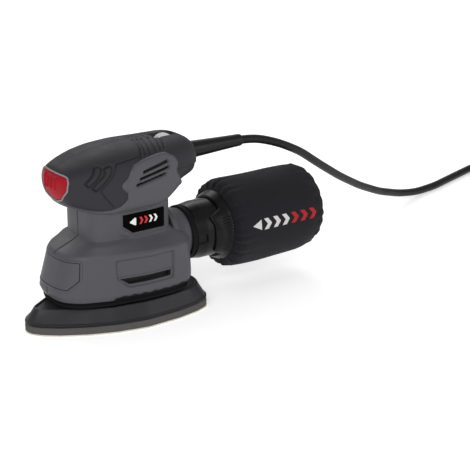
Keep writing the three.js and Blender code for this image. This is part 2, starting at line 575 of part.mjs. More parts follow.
place('pad_screw', padScrew(), steel());
[-1, 1].forEach((side) => {
  const end = side < 0 ? 'front' : 'rear';
  place(`brush_${end}`, brushSolid(side), carbon());
  place(`brush_spring_${end}`, brushSpring(side), steel());
  place(`brush_holder_${end}`, brushHolder(side), brass());
});

place('platen', platenSolid(), blackPlastic());
place('foam_pad', padLayer(0, FOAM_BASE, FOAM_BASE + FOAM_THICK), foam());
place('abrasive_sheet', padLayer(-0.5, 0, SHEET_THICK), grit());
place('dust_skirt', skirtSolid(), softRubber());
POSTS.forEach(([x, y], i) => place(`platen_post_${i + 1}`,
  rod(POST_R, 51.2 - PLATEN_TOP - 0.4, 'z', x, y, PLATEN_TOP + 0.4, 16), softRubber()));

place('dust_port', portSolid(), nylon());
place('spigot_seal', sealSolid(), softRubber());
place('bag_adapter', collarSolid(), blackPlastic());
place('bag_ring', ringSolid(), blackPlastic());
place('dust_bag', bagSolid(), cloth());

place('cord_strain_relief', reliefSolid(), softRubber());
place('cord_clamp', clampSolid(), blackPlastic());
place('cord_clamp_screw_left', rod(1.3, 6, 'z', 49.1, -6, 101.8, 12), steel());
place('cord_clamp_screw_right', rod(1.3, 6, 'z', 49.1, 6, 101.8, 12), steel());
place('mains_cord', cordSolid(), blackPlastic());
place('cord_coil', coiledCord(), blackPlastic());
place('coil_tie', tieSolid(), blackPlastic());
place('plug_body', plugSolid(), blackPlastic());
place('plug_pin_left', pinSolid(-1), brass());
place('plug_pin_right', pinSolid(1), brass());

export default sander;
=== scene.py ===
import json

import bmesh
import bpy
import numpy as np
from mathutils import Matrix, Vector
from mathutils.kdtree import KDTree


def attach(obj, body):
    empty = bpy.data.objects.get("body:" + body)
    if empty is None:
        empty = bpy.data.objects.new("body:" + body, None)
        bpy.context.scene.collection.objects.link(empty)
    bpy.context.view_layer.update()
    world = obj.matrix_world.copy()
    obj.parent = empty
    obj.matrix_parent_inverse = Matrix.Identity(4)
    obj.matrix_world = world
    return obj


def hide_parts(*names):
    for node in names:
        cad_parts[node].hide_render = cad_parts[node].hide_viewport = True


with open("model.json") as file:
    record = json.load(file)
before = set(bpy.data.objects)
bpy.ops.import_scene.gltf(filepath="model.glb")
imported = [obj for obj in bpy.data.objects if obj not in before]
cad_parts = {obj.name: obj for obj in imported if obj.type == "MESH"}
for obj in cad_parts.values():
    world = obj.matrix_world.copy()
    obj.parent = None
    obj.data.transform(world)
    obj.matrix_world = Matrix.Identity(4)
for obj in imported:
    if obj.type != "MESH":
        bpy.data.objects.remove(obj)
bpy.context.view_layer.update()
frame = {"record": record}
MM = 0.001

# ---------------------------------------------------------------- studio
# A pale seamless floor under three large soft lamps, seen from the front left corner by a long lens
# a little above the tool.
LOOK_AT = Vector((0.1004, 0.0, 0.0360))
CAMERA_TURN = np.radians(35)
CAMERA_RISE = np.radians(20)
CAMERA_AWAY = 1.130
back = Vector((
    -np.sin(CAMERA_TURN) * np.cos(CAMERA_RISE),
    -np.cos(CAMERA_TURN) * np.cos(CAMERA_RISE),
    np.sin(CAMERA_RISE),
))
lens = bpy.data.cameras.new("camera")
lens.lens = 114.9
lens.sensor_width = 36
lens.clip_end = 20
camera = bpy.data.objects.new("camera", lens)
camera.location = LOOK_AT + back * CAMERA_AWAY
camera.rotation_euler = back.to_track_quat("Z", "Y").to_euler()
bpy.context.collection.objects.link(camera)
bpy.context.scene.camera = camera
bpy.context.scene.view_settings.view_transform = "Standard"


def linear(hex_colour):
    """A hex sRGB colour as linear red, green, blue, alpha."""
    parts = np.array([int(hex_colour[i:i + 2], 16) for i in (1, 3, 5)]) / 255
    light = np.where(parts <= 0.04045, parts / 12.92, ((parts + 0.055) / 1.055) ** 2.4)
    return (*light.tolist(), 1.0)


def add(tree, kind, settings=None, **inputs):
    """One node with its sockets set or linked; a socket's spaces are written as underscores."""
    made = tree.nodes.new(kind)
    for key, value in (settings or {}).items():
        setattr(made, key, value)
    for key, value in inputs.items():
        name = key.replace("_", " ")
        socket = made.inputs[int(name[1:]) if name[0] == "i" and name[1:].isdigit() else name]
        if isinstance(value, bpy.types.NodeSocket):
            tree.links.new(value, socket)
        else:
            socket.default_value = value
    return made


def lamp(name, size, power, place, aim):
    """A white rectangular soft lamp, power in watts, at a place and turned to what it lights."""
    light = bpy.data.lights.new(name, "AREA")
    light.shape = "RECTANGLE"
    light.size, light.size_y = size
    light.energy = power
    holder = bpy.data.objects.new(name, light)
    holder.location = place
    holder.rotation_euler = (Vector(place) - Vector(aim)).to_track_quat("Z", "Y").to_euler()
    bpy.context.collection.objects.link(holder)
    return holder


lamp("key_softbox", (1.2, 0.9), 14.5, (-1.1, -1.05, 0.85), (0.03, 0, 0.06))
lamp("side_softbox", (0.8, 0.8), 4.5, (0.85, -1.1, 0.55), (0.08, 0, 0.05))
lamp("back_softbox", (1.4, 0.6), 8, (0.3, 1.2, 1.05), (0.05, 0, 0.06))

world = bpy.data.worlds.new("studio_air")
bpy.context.scene.world = world
world.use_nodes = True
world.node_tree.nodes["Background"].inputs["Color"].default_value = linear("#ffffff")
world.node_tree.nodes["Background"].inputs["Strength"].default_value = 0.5

floor_mesh = bpy.data.meshes.new("floor")
floor_mesh.from_pydata([(-6, -6, 0), (6, -6, 0), (6, 6, 0), (-6, 6, 0)], [], [(0, 1, 2, 3)])
floor = bpy.data.objects.new("floor", floor_mesh)
bpy.context.collection.objects.link(floor)
paper = bpy.data.materials.new("seamless_paper_matt")
paper.use_nodes = True
for socket, value in (("Base Color", linear("#fbfbfb")), ("Roughness", 0.9),
                      ("Emission Color", linear("#ffffff")), ("Emission Strength", 0.34)):
    paper.node_tree.nodes["Principled BSDF"].inputs[socket].default_value = value
floor.data.materials.append(paper)

# ---------------------------------------------------------------- housing
# Two clamshell halves of glass-filled nylon, injection moulded with a fine spark-eroded grain:
# a delta-shaped bell over the pad, a waist round the motor and the core of the palm head.
NYLON = "#49484c"
# near black painted into grooves, slots, holes and under edges as the shade there
PAINTED_GROOVE_SHADE = "#0b0b0c"


def surface_material(name, colour, rough, grain=0.35, depth=0.03, mottle=0.06, metallic=0.0,
                     shine=0.2, sheen=0.0, mask=None, streak=None, scuff=0.0,
                     scuff_colour="#8b8b8d"):
    """Solid finish with a fine bump of grain mm across and depth mm high, a soft mottle, worn scuffs
    and, where the piece has the mask attribute, painted shade: the near black of a deep groove."""
    made = bpy.data.materials.new(name)
    made.use_nodes = True
    tree = made.node_tree
    body = tree.nodes["Principled BSDF"]
    spot = add(tree, "ShaderNodeTexCoord").outputs["Object"]
    if streak:
        spot = add(tree, "ShaderNodeMapping", Vector=spot, Scale=streak).outputs["Vector"]
    fine = add(tree, "ShaderNodeTexNoise", Vector=spot, Scale=1 / (grain * MM), Detail=3.0,
               Roughness=0.6).outputs["Fac"]
    broad = add(tree, "ShaderNodeTexNoise", Vector=spot, Scale=55.0, Detail=4.0,
                Roughness=0.65).outputs["Fac"]
    base = linear(colour)
    low = tuple(c * (1 - mottle) for c in base[:3]) + (1.0,)
    high = tuple(min(1.0, c * (1 + mottle)) for c in base[:3]) + (1.0,)
    tone = add(tree, "ShaderNodeMix", {"data_type": "RGBA"}, i0=broad, i6=low, i7=high).outputs[2]
    worn = add(tree, "ShaderNodeTexNoise", Vector=spot, Scale=230.0, Detail=6.0,
               Roughness=0.75).outputs["Fac"]
    worn = add(tree, "ShaderNodeMapRange", i0=worn, i1=0.62, i2=0.78, i3=0.0, i4=scuff).outputs[0]
    tone = add(tree, "ShaderNodeMix", {"data_type": "RGBA"}, i0=worn, i6=tone,
               i7=linear(scuff_colour)).outputs[2]
    gloss = add(tree, "ShaderNodeMapRange", i0=broad, i1=0.3, i2=0.7, i3=max(rough - 0.07, 0.03),
                i4=min(rough + 0.07, 1.0)).outputs[0]
    # painted shade: the mask attribute mixes the colour to near black where grooves and slots lie in shade
    if mask:
        amount = add(tree, "ShaderNodeAttribute", {"attribute_name": mask}).outputs["Fac"]
        tone = add(tree, "ShaderNodeMix", {"data_type": "RGBA"}, i0=amount, i6=tone,
                   i7=linear(PAINTED_GROOVE_SHADE)).outputs[2]
    bump = add(tree, "ShaderNodeBump", Strength=1.0, Distance=depth * MM, Height=fine)
    tree.links.new(tone, body.inputs["Base Color"])
    tree.links.new(gloss, body.inputs["Roughness"])
    tree.links.new(bump.outputs["Normal"], body.inputs["Normal"])
    body.inputs["Metallic"].default_value = metallic
    body.inputs["Specular IOR Level"].default_value = shine
    body.inputs["Sheen Weight"].default_value = sheen
    return made


def eased(points, step, soft, stretch=None, closed=False):
    """A run of points set out every step and rounded off over soft, measured in stretched columns."""
    run = np.array(points, float)
    if closed:
        run = np.vstack([run, run[:1]])
    weight = np.ones(run.shape[1]) if stretch is None else np.array(stretch, float)
    along = np.r_[0, np.cumsum(np.linalg.norm(np.diff(run * weight, axis=0), axis=1))]
    at = np.linspace(0, along[-1], max(int(along[-1] / step), 4) + 1)
    even = np.stack([np.interp(at, along, run[:, k]) for k in range(run.shape[1])], 1)
    reach = max(1, int(round(soft / step)))
    kernel = np.hanning(2 * reach + 1)
    kernel /= kernel.sum()
    if closed:
        even = even[:-1]
        wide = np.vstack([even[-reach:], even, even[:reach]])
    else:
        first = 2 * even[0] - even[1:reach + 1][::-1]
        last = 2 * even[-1] - even[-reach - 1:-1][::-1]
        wide = np.vstack([first, even, last])
    return np.stack([np.convolve(wide[:, k], kernel, "valid") for k in range(run.shape[1])], 1)


def nearest(a, b, path, closed=False):
    """Distance in mm from every point (a, b) to a path of straight runs."""
    path = np.array(path, float)
    ends = np.vstack([path, path[:1]]) if closed else path
    best = np.full(np.shape(a), 1e9)
    for (a0, b0), (a1, b1) in zip(ends[:-1], ends[1:]):
        da, db = a1 - a0, b1 - b0
        t = np.clip(((a - a0) * da + (b - b0) * db) / max(da * da + db * db, 1e-12), 0, 1)
        best = np.minimum(best, np.hypot(a - a0 - t * da, b - b0 - t * db))
    return best


def within(a, b, shape):
    """Signed distance in mm to the edge of a closed shape, positive inside it."""
    shape = np.array(shape, float)
    odd = np.zeros(np.shape(a), bool)
    for (a0, b0), (a1, b1) in zip(shape, np.roll(shape, -1, 0)):
        crosses = (b0 > b) != (b1 > b)
        rise = b1 - b0 if abs(b1 - b0) > 1e-12 else 1e-12
        odd ^= crosses & (a < a0 + (b - b0) * (a1 - a0) / rise)
    away = nearest(a, b, shape, closed=True)
    return np.where(odd, away, -away)


def ramp(value, start, stop):
    """0 before start, 1 after stop, smooth between."""
    t = np.clip((value - start) / (stop - start), 0, 1)
    return t * t * (3 - 2 * t)


def dent(distance, width):
    """1 on a line, falling smoothly to 0 at width mm from it."""
    return 1 - ramp(distance, 0, width)


def outward(grid):
    """Unit normals of a rows by columns grid of points, from its two directions."""
    down = np.gradient(grid, axis=0)
    across = np.gradient(grid, axis=1)
    normal = np.cross(across, down)
    size = np.linalg.norm(normal, axis=2, keepdims=True)
    return normal / np.maximum(size, 1e-9)


def skin(name, grid, material, body, node=None, keep=None, closed=False, thick=0.0, values=None,
         flip=False, smooth=True, caps=False):
    """A rows by columns grid of points in mm made a mesh; keep drops faces, closed joins the last
    column to the first, caps fills the first and last rows, thick gives it an inner wall."""
    rows, columns = grid.shape[:2]
    index = np.arange(rows * columns).reshape(rows, columns)
    right = np.roll(index, -1, 1) if closed else index[:, 1:]
    left = index if closed else index[:, :-1]
    quads = np.stack([left[:-1], right[:-1], right[1:], left[1:]], -1).reshape(-1, 4)
    if keep is not None:
        kept = keep.reshape(-1)[quads].all(1)
        quads = quads[kept]
    if flip:
        quads = quads[:, ::-1]
    faces = quads.tolist()
    if caps:
        first, last = index[0].tolist(), index[-1].tolist()
        faces.append(first if flip else first[::-1])
        faces.append(last[::-1] if flip else last)
    mesh = bpy.data.meshes.new(name)
    mesh.from_pydata((grid.reshape(-1, 3) * MM).tolist(), [], faces)
    for key, value in (values or {}).items():
        layer = mesh.attributes.new(key, "FLOAT", "POINT")
        layer.data.foreach_set("value", value.reshape(-1).astype(np.float32))
    return finish_piece(name, mesh, material, body, node, thick, smooth)


def finish_piece(name, mesh, material, body, node=None, thick=0.0, smooth=True):
    """Drops loose points, smooths, gives the wall and the material, and ties it to its body."""
    made = bpy.data.objects.new(name, mesh)
    bpy.context.collection.objects.link(made)
    shell = bmesh.new()
    shell.from_mesh(mesh)
    bmesh.ops.delete(shell, geom=[v for v in shell.verts if not v.link_faces], context="VERTS")
    bmesh.ops.remove_doubles(shell, verts=shell.verts, dist=1e-6)
    shell.to_mesh(mesh)
    shell.free()
    mesh.polygons.foreach_set("use_smooth", np.full(len(mesh.polygons), smooth))
    mesh.materials.append(material)
    if thick:
        wall = made.modifiers.new("wall", "SOLIDIFY")
        wall.thickness = thick * MM
        wall.offset = -1
    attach(made, body)
    if node:
        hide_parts(*([node] if isinstance(node, str) else node))
    return made


# half-outlines seen from above, point to heel
LIP = [(-60, 0), (-59.5, 10), (-56.6, 18), (-48, 26.2), (-29, 33.8), (0, 38.4), (22, 38.2),
       (37, 34.5), (43.5, 27), (45.5, 16), (46, 0)]
SHOULDER = [(-53, 0), (-52.4, 9.5), (-49, 17.6), (-43, 23.8), (-27, 31.5), (0, 38.6), (21, 39.2),
            (35, 35), (42, 27), (44, 16), (44.5, 0)]
WAIST = (32.2, 24)
WAIST_SHIFT = (-1.3, 0)
BELL_CENTRE = (-4.0, 0.0)
BELL_STEP = 0.75


def reach(loop, angles):
    """Radius of a closed loop at each angle about the bell's centre."""
    dx, dy = loop[:, 0] - BELL_CENTRE[0], loop[:, 1] - BELL_CENTRE[1]
    turn = np.arctan2(dy, dx)
    order = np.argsort(turn)
    return np.interp(angles, turn[order], np.hypot(dx, dy)[order], period=2 * np.pi)


def mirrored(half):
    """A half-outline joined to its mirror image across the middle line."""
    half = [tuple(p) for p in half]
    return half + [(x, -y) for x, y in half[-2:0:-1]]


def box_loop(long, wide, power):
    """A rounded box seen from above: |x / long| ** power + |y / wide| ** power = 1."""
    turn = np.linspace(0, 2 * np.pi, 1440, endpoint=False)
    c, s = np.cos(turn), np.sin(turn)
    return np.stack([long * np.sign(c) * np.abs(c) ** (2 / power),
                     wide * np.sign(s) * np.abs(s) ** (2 / power)], 1)


lip_loop = eased(mirrored(LIP), 0.5, 7, closed=True)
shoulder_loop = eased(mirrored(SHOULDER), 0.5, 6, closed=True)
flare_loop = box_loop(WAIST[0] + 4.5, WAIST[1] + 4.0, 4.2) + WAIST_SHIFT
waist_loop = box_loop(*WAIST, 5.0) + WAIST_SHIFT

# the bell's side from the lip up: which outline (0 lip, 1 shoulder, 2 flare, 3 waist), inset, height
BELL_RUN = [(0, 5.0, 30.0), (0, 5.0, 24.6), (0, 3.0, 23.2), (0, 2.0, 23.2), (0, 0.0, 27.6),
            (0.12, 0, 32.5), (1, 0, 54.6), (1.12, 0, 56.4), (2, 0, 61.4), (3, 0, 64.0), (3, 0, 93)]
bell_run = eased(BELL_RUN, BELL_STEP, 0.9, stretch=(11, 1, 1))


def bell_grid(side):
    """Half of the bell and waist: rows up the side run, columns round from the heel to the point."""
    turn = np.linspace(0, np.pi, 2000)
    span = reach(shoulder_loop, turn)
    curve = np.stack([span * np.cos(turn), span * np.sin(turn)], 1)
    along = np.r_[0, np.cumsum(np.linalg.norm(np.diff(curve, axis=0), axis=1))]
    turn = np.interp(np.linspace(0, along[-1], int(along[-1] / BELL_STEP)), along, turn)
    rings = np.stack([reach(loop, turn) for loop in (lip_loop, shoulder_loop, flare_loop, waist_loop)])
    which = np.clip(bell_run[:, 0], 0, 2.9999)
    lower = which.astype(int)
    part = (which - lower)[:, None]
    radius = rings[lower] * (1 - part) + rings[lower + 1] * part - bell_run[:, 1:2]
    x = BELL_CENTRE[0] + radius * np.cos(turn)
    y = radius * np.sin(turn)
    z = np.repeat(bell_run[:, 2:3], len(turn), 1)
    grid = np.stack([x, y, z], -1)
    normal = outward(grid)
    grid[..., 1] *= side
    normal[..., 1] *= side
    return grid, normal


# outlines on the side wall in (x, z), and of the nose panel in (way round the point, z)
PANEL_REACH = 45.0
NOSE_PANEL = [(-22.4, 52), (22.4, 52), (23.0, 40), (16.4, 33), (-16.4, 33), (-23.0, 40)]
PANEL_SHAPE = eased(NOSE_PANEL, 0.6, 1.3, closed=True)
RECESS = [(-22.5, 51.8), (20.8, 52.6), (21.4, 32.4), (-14, 32.0), (-22.5, 39.4)]
RECESS_SHAPE = eased(RECESS, 0.6, 0.9, closed=True)
RECESS_DEEP = 1.4
LOUVRE = [(-20.4, 38.4), (20.0, 38.7), (19.4, 33.7), (-13.4, 33.4)]
LOUVRE_SHAPE = eased(LOUVRE, 0.4, 0.7, closed=True)
BADGE = [(-11.2, 80.8), (22.9, 80.8), (22.7, 66.2), (-3.4, 66.2), (-11.2, 72.4)]
BADGE_LAND = [(-19, 90), (40, 90), (40, 63), (-4, 63), (-13, 66), (-18, 72)]


def bell_relief(grid):
    """Sunk and raised parts of the bell's side in mm, and a mask of painted shade in the louvre slot,
    along the recess edge and over the foot of the side, which also darkens the middle seam.
    """
    x, y, z = grid[..., 0], np.abs(grid[..., 1]), grid[..., 2]
    lift = -0.45 * np.exp(-(y / 0.5) ** 2)
    flat = np.arctan2(y, BELL_CENTRE[0] - x) * PANEL_REACH
    lift = lift - 2.0 * (x < -30) * ramp(within(flat, z, PANEL_SHAPE), -1.25, -0.45)
    side = y > 10
    lift = lift - RECESS_DEEP * side * ramp(within(x, z, RECESS_SHAPE), -0.45, 0.45)
    land = within(x, z, eased(BADGE_LAND, 0.8, 2.4, closed=True))
    lift = lift + 0.7 * side * ramp(land, -0.6, 0.9)
    lift = lift - 2.2 * side * ramp(within(x, z, BADGE), -1.25, -0.4)
    # the louvre slot is sunk, and painted dark as the shade inside it
    slot = np.where(side, within(x, z, LOUVRE_SHAPE), -9)
    lift = lift - 3.4 * ramp(slot, -0.95, -0.2)
    # painted shade: a dark line along the edge of the recess
    edge = 0.4 * side * np.exp(-(within(x, z, RECESS_SHAPE) / 0.5) ** 2)
    seam = 0.5 * np.exp(-(y / 0.55) ** 2)
    # the foot of the side is sunk a little and painted dark as the shade of its undercut over the skirt
    gap = side * ramp(x, -26, -22) * (1 - ramp(x, 34, 40)) * (1 - ramp(z + 0.5 * np.sin(x * 0.8), 24.9, 25.6))
    return lift - 0.7 * gap, np.maximum.reduce([ramp(slot, -0.6, -0.2), edge, seam, 0.93 * gap])


nylon = surface_material("nylon_spark_textured", NYLON, 0.5, grain=0.3, depth=0.035, mask="slot",
                         scuff=0.10)

# the palm head along its length: position, top, underside, half-width
HEAD = [(-51.7, 114.6, 93.2, 18.6), (-46, 117.9, 90.0, 21.2), (-38.5, 120.7, 87.8, 24.4),
        (-28, 123.6, 84.8, 27.6), (-15, 125.6, 83.2, 29.8), (3, 126.6, 83.2, 30.2),
        (20, 126.0, 83.8, 29.6), (34, 125.6, 91, 28), (45, 125.8, 94.4, 25), (52.6, 123.0, 96, 20.4),
        (59.0, 117.2, 100.8, 13.7)]
HEAD_POWER = 2.7
UNDER_POWER = 3.4
NOSE_CAP = 6.0
NOSE_POWER = 3.6
TAIL_CAP = 7.5
HEAD_STEP = 0.72


def under_fill(x):
    """How square the underside is along the head: most of all over the waist."""
    return ramp(x, -50, -30) * (1 - ramp(x, 20, 42))


def head_grid(side):
    """Half of the head: rows from nose to tail, columns from the underside up to the top."""
    sizes = eased(HEAD, 0.5, 8)
    x = np.linspace(HEAD[0][0], HEAD[-1][0], 1800)
    top, under, wide = (np.interp(x, sizes[:, 0], sizes[:, k]) for k in (1, 2, 3))
    nose = np.clip((x - x[0]) / NOSE_CAP, 0, 1)
    tail = np.clip((x[-1] - x) / TAIL_CAP, 0, 1)
    shrink = (1 - (1 - nose) ** NOSE_POWER) ** (1 / NOSE_POWER) * (1 - (1 - tail) ** 2.2) ** (1 / 2.2)
    tall = (top - under) / 2 * shrink
    wide = wide * shrink
    along = np.r_[0, np.cumsum(np.hypot(np.diff(x), np.diff(wide + tall)))]
    at = np.interp(np.linspace(0, along[-1], int(along[-1] / HEAD_STEP)), along, x)
    middle, tall, wide = (np.interp(at, x, v) for v in ((top + under) / 2, tall, wide))
    turn = np.linspace(-np.pi / 2, np.pi / 2, 130)
    power = np.where(turn < 0, HEAD_POWER + UNDER_POWER * under_fill(at)[:, None], HEAD_POWER)
    c, s = np.cos(turn), np.sin(turn)
    size = (np.abs(c) ** power + np.abs(s) ** power) ** (-1 / power)
    c, s = c * size, s * size
    grid = np.stack([np.repeat(at[:, None], len(turn), 1), wide[:, None] * c,
                     middle[:, None] + tall[:, None] * s], -1)
    normal = outward(grid)
    facing = np.sum(normal * (grid - np.array([3, 0, 106])), -1) < 0
    normal[facing] *= -1
    grid[..., 1] *= side
    normal[..., 1] *= side
    return grid, normal


# side view of the line where the soft grip ends, nose to tail
GRIP_EDGE = [(-75, 93.6), (-50, 92.8), (-44, 90.4), (-36, 88.0), (-28, 86.8), (-21, 86.8), (-14.5, 88.8),
             (-9.2, 93.6), (-9.2, 98.5), (-13.4, 102.4), (-13.6, 105), (-8.6, 108.8), (-6.6, 112.6),
             (-3.0, 116.6), (6, 118.8), (18, 120.2), (24, 120.2), (29.6, 117), (32, 112.6),
             (30, 107.4), (34.5, 99.5), (41, 92), (45, 80)]
GRIP_SHAPE = eased(GRIP_EDGE, 0.8, 1.6).tolist() + [(90, 80), (90, 150), (-75, 150)]
BOOT = [(-17.7, 109.3), (-15.9, 112.5), (-12.3, 113.3), (12.3, 113.3), (15.9, 112.5), (17.7, 109.3),
        (17.3, 103.6), (10.8, 96.2), (2.5, 93.3), (-2.5, 93.3), (-10.8, 96.2), (-17.3, 103.6)]
BOOT_SHAPE = eased(BOOT, 0.6, 2.0, closed=True)
VENTS = [((3.6, 111.0), (23.4, 115.0)), ((0.6, 106.6), (23.6, 111.0)), ((-2.2, 102.6), (20.6, 106.8))]
VENT_HALF = 1.2


def head_shell_relief(grid):
    """Core of the head: full size beside the soft grip, sunk under it, with three slanted vents
    painted dark inside as their shade.
    """
    x, y, z = grid[..., 0], np.abs(grid[..., 1]), grid[..., 2]
    grip = within(x, z, GRIP_SHAPE)
    lift = -0.45 * np.exp(-(y / 0.5) ** 2) - 3.0 * ramp(grip, -0.9, 1.4)
    slot = np.full(x.shape, 99.0)
    for vent in VENTS:
        slot = np.minimum(slot, nearest(x, z, vent))
    slot = np.where(y > 12, VENT_HALF - slot, -9)
    rim = 0.3 * np.exp(-((grip + 1.3) / 0.6) ** 2) * (y > 12)
    # the mask paints the vents' insides dark as their shade
    return lift + rim - 3.0 * ramp(slot, -0.95, -0.2), ramp(slot, -0.6, -0.2), grip < 3.2


for side, word in ((-1, "left"), (1, "right")):
    grid, normal = bell_grid(side)
    lift, slot = bell_relief(grid)
    shape = grid + normal * lift[..., None]
    made = skin(f"housing_bell_{word}", shape, nylon, "sander_body", f"housing_{word}", thick=1.6,
                values={"slot": slot}, flip=side < 0)
    grid, normal = head_grid(side)
    lift, slot, keep = head_shell_relief(grid)
    shape = grid + normal * lift[..., None]
    made = skin(f"housing_head_{word}", shape, nylon, "sander_body", keep=keep, thick=1.2,
                values={"slot": slot}, flip=side > 0)


def head_side(x, z):
    """Point of the head's right side over (x, z)."""
    sizes = eased(HEAD, 0.5, 8)
    top, under, wide = (np.interp(x, sizes[:, 0], sizes[:, k]) for k in (1, 2, 3))
    up = np.clip(np.abs(z - (top + under) / 2) / ((top - under) / 2), 0, 1)
    power = HEAD_POWER + np.where(z < (top + under) / 2, UNDER_POWER * under_fill(x), 0)
    return np.stack([x, wide * (1 - up ** power) ** (1 / power), z], -1)


def bell_rings(turn, z):
    """Radius of the bell at an angle and a height."""
    rings = [reach(loop, turn) for loop in (lip_loop, shoulder_loop, flare_loop, waist_loop)]
    tall = bell_run[:, 2] > 27
    which = np.clip(np.interp(z, bell_run[tall, 2], bell_run[tall, 0]), 0, 2.9999)
    inset = np.interp(z, bell_run[tall, 2], bell_run[tall, 1])
    lower = which.astype(int)
    part = which - lower
    pick = np.choose(lower, rings) * (1 - part) + np.choose(lower + 1, [*rings, rings[-1]]) * part
    return pick - inset


def bell_side(x, z):
    """Point of the bell's right side over (x, z), found by closing in on the angle."""
    near, far = np.full(np.shape(x), 0.05), np.full(np.shape(x), np.pi - 0.05)
    for _ in range(26):
        turn = (near + far) / 2
        ahead = BELL_CENTRE[0] + bell_rings(turn, z) * np.cos(turn) > x
        near, far = np.where(ahead, turn, near), np.where(ahead, far, turn)
    return np.stack([x, bell_rings(turn, z) * np.sin(turn), z], -1)


def bell_nose(flat, z):
    """Point round the bell's nose, flat mm from its middle line, at height z."""
    turn = np.pi - flat / PANEL_REACH
    size = bell_rings(turn % (2 * np.pi), z)
    return np.stack([BELL_CENTRE[0] + size * np.cos(turn), size * np.sin(turn), z], -1)


BELL_MIDDLE = 45
HEAD_MIDDLE = 105
HEAD_UNDERSIDE = 90


def raised(place, a, b, height, side):
    """Points height mm proud of a surface, mirrored to the left for side -1."""
    near = 0.08
    here = place(a, b)
    normal = np.cross(place(a + near, b) - place(a - near, b), place(a, b + near) - place(a, b - near))
    normal /= np.linalg.norm(normal, axis=-1, keepdims=True)
    centre = np.array([0, 0, BELL_MIDDLE if b.mean() < HEAD_UNDERSIDE else HEAD_MIDDLE])
    normal *= np.sign(np.sum(normal * (here - centre), -1, keepdims=True))
    here = here + normal * np.reshape(height, (-1,) + (1,) * (here.ndim - 1))
    here[..., 1] *= side
    return here


def grown(loop, amount):
    """A closed outline moved outward by amount mm."""
    ahead = np.roll(loop, -1, 0) - np.roll(loop, 1, 0)
    away = np.stack([ahead[:, 1], -ahead[:, 0]], 1)
    away /= np.linalg.norm(away, axis=1, keepdims=True)
    turn = np.sum(loop[:, 0] * np.roll(loop[:, 1], -1) - np.roll(loop[:, 0], -1) * loop[:, 1])
    return loop + away * amount * np.sign(turn)


LIP_WIDTH = 1.15


def frame_lip(name, place, shape, body, side=1, drop=2.6, dark=True):
    """The moulded edge round an opening: flat on the wall, rounded over and down into the hole;
    with dark, the wall down into the hole is painted dark as its shade.
    """
    rings = [(LIP_WIDTH, -0.35), (LIP_WIDTH, 0.035), (0.5, 0.05), (0.22, 0.02), (0.05, -0.14), (0, -0.4),
             (-0.06, -drop)]
    loops = np.array([grown(shape, out) for out, _ in rings])
    height = np.array([h for _, h in rings])
    grid = raised(place, loops[..., 0], loops[..., 1], height, side)
    # painted shade: with dark, the wall deeper than 0.9 mm is painted near black
    slot = np.repeat(np.where(height < -0.9, 1.0 if dark else 0.0, 0.0)[:, None], len(shape), 1)
    turn = np.sum(shape[:, 0] * np.roll(shape[:, 1], -1) - np.roll(shape[:, 0], -1) * shape[:, 1])
    made = skin(name, grid, nylon, body, closed=True, thick=0.25, values={"slot": slot},
                flip=(turn > 0) != (side > 0))
    return made


def sunk_bell_side(x, z):
    """The bell's side with its long recess."""
    here = bell_side(x, z)
    here[..., 1] -= RECESS_DEEP * ramp(within(x, z, RECESS_SHAPE), -0.45, 0.45)
    return here


for side, word in ((-1, "left"), (1, "right")):
    for k, ((x0, z0), (x1, z1)) in enumerate(VENTS):
        way = np.array([x1 - x0, z1 - z0])
        way /= np.hypot(*way)
        across = np.array([-way[1], way[0]])
        turn = np.linspace(-np.pi / 2, np.pi / 2, 13)[:, None]
        cap = VENT_HALF * (np.cos(turn) * way + np.sin(turn) * across)
        ends = np.vstack([cap + (x1, z1), (x0, z0) - cap])
        frame_lip(f"vent_lip_{word}_{k + 1}", head_side, eased(ends, 0.45, 0.5, closed=True),
                  "sander_body", side)
    frame_lip(f"louvre_lip_{word}", sunk_bell_side, LOUVRE_SHAPE, "sander_body", side)
    frame_lip(f"badge_pocket_{word}", bell_side, eased(BADGE, 0.5, 0.7, closed=True), "sander_body",
              side, drop=1.6, dark=False)
frame_lip("nose_panel_pocket", bell_nose, grown(PANEL_SHAPE, 0.3), "sander_body", drop=1.8, dark=False)

# ---------------------------------------------------------------- soft grip
# The palm cover: a skin of matt thermoplastic rubber moulded over both halves, with fine chevron
# grooves at the thumb, a crease that meets them and shallow ribs behind the fingers.
RUBBER = "#28272b"
CHEVRONS = [
    [(-31, 118.1), (-27.6, 118.6), (-26.6, 117.2), (-28, 114.8), (-31.5, 110.5), (-34.2, 108.2),
     (-37.2, 105.8), (-39.6, 108.4), (-34.4, 113.2), (-32.8, 115.4)],
    [(-24.8, 117.5), (-20.2, 118.6), (-19.2, 117.3), (-20.3, 114.8), (-23.1, 111.1), (-26.6, 107.8),
     (-32.5, 102.4), (-35.2, 104.8), (-31.4, 108.9), (-27.1, 112.2), (-25.1, 114.6)],
]
CREASE = [(3.2, 121.0), (-15.3, 119.1), (-16.6, 118.1), (-18.1, 114.5), (-20.5, 111.2),
          (-23.9, 107.9), (-29.4, 102.7), (-27.4, 99.0), (-24.4, 94.8), (-20.0, 89.0)]
RIBS = [[(10.8, 2.5), (10.2, 11.2), (7.6, 18.6), (3.4, 26.0)],
        [(14.7, 2.5), (11.6, 14.8), (8.2, 24.0)], [(18.4, 2.5), (15.2, 15.3), (12.2, 24.4)],
        [(23.6, 2.5), (20.6, 13.4), (17.3, 24.0)], [(28, 3), (25, 13.8), (22, 22.2)],
        [(32, 3), (28.6, 13.9), (25.6, 21.0)]]
CREST = [(40, 2.0), (8, 8.0), (-10, 9.0), (-27, 7.6), (-38, 4.6), (-46, 0)]
HEEL_STEP = [(31, 108.2), (40, 107.8), (48, 106.8), (60, 105.4)]
DIAL_SLOT = (28.6, 48.4, 4.7)


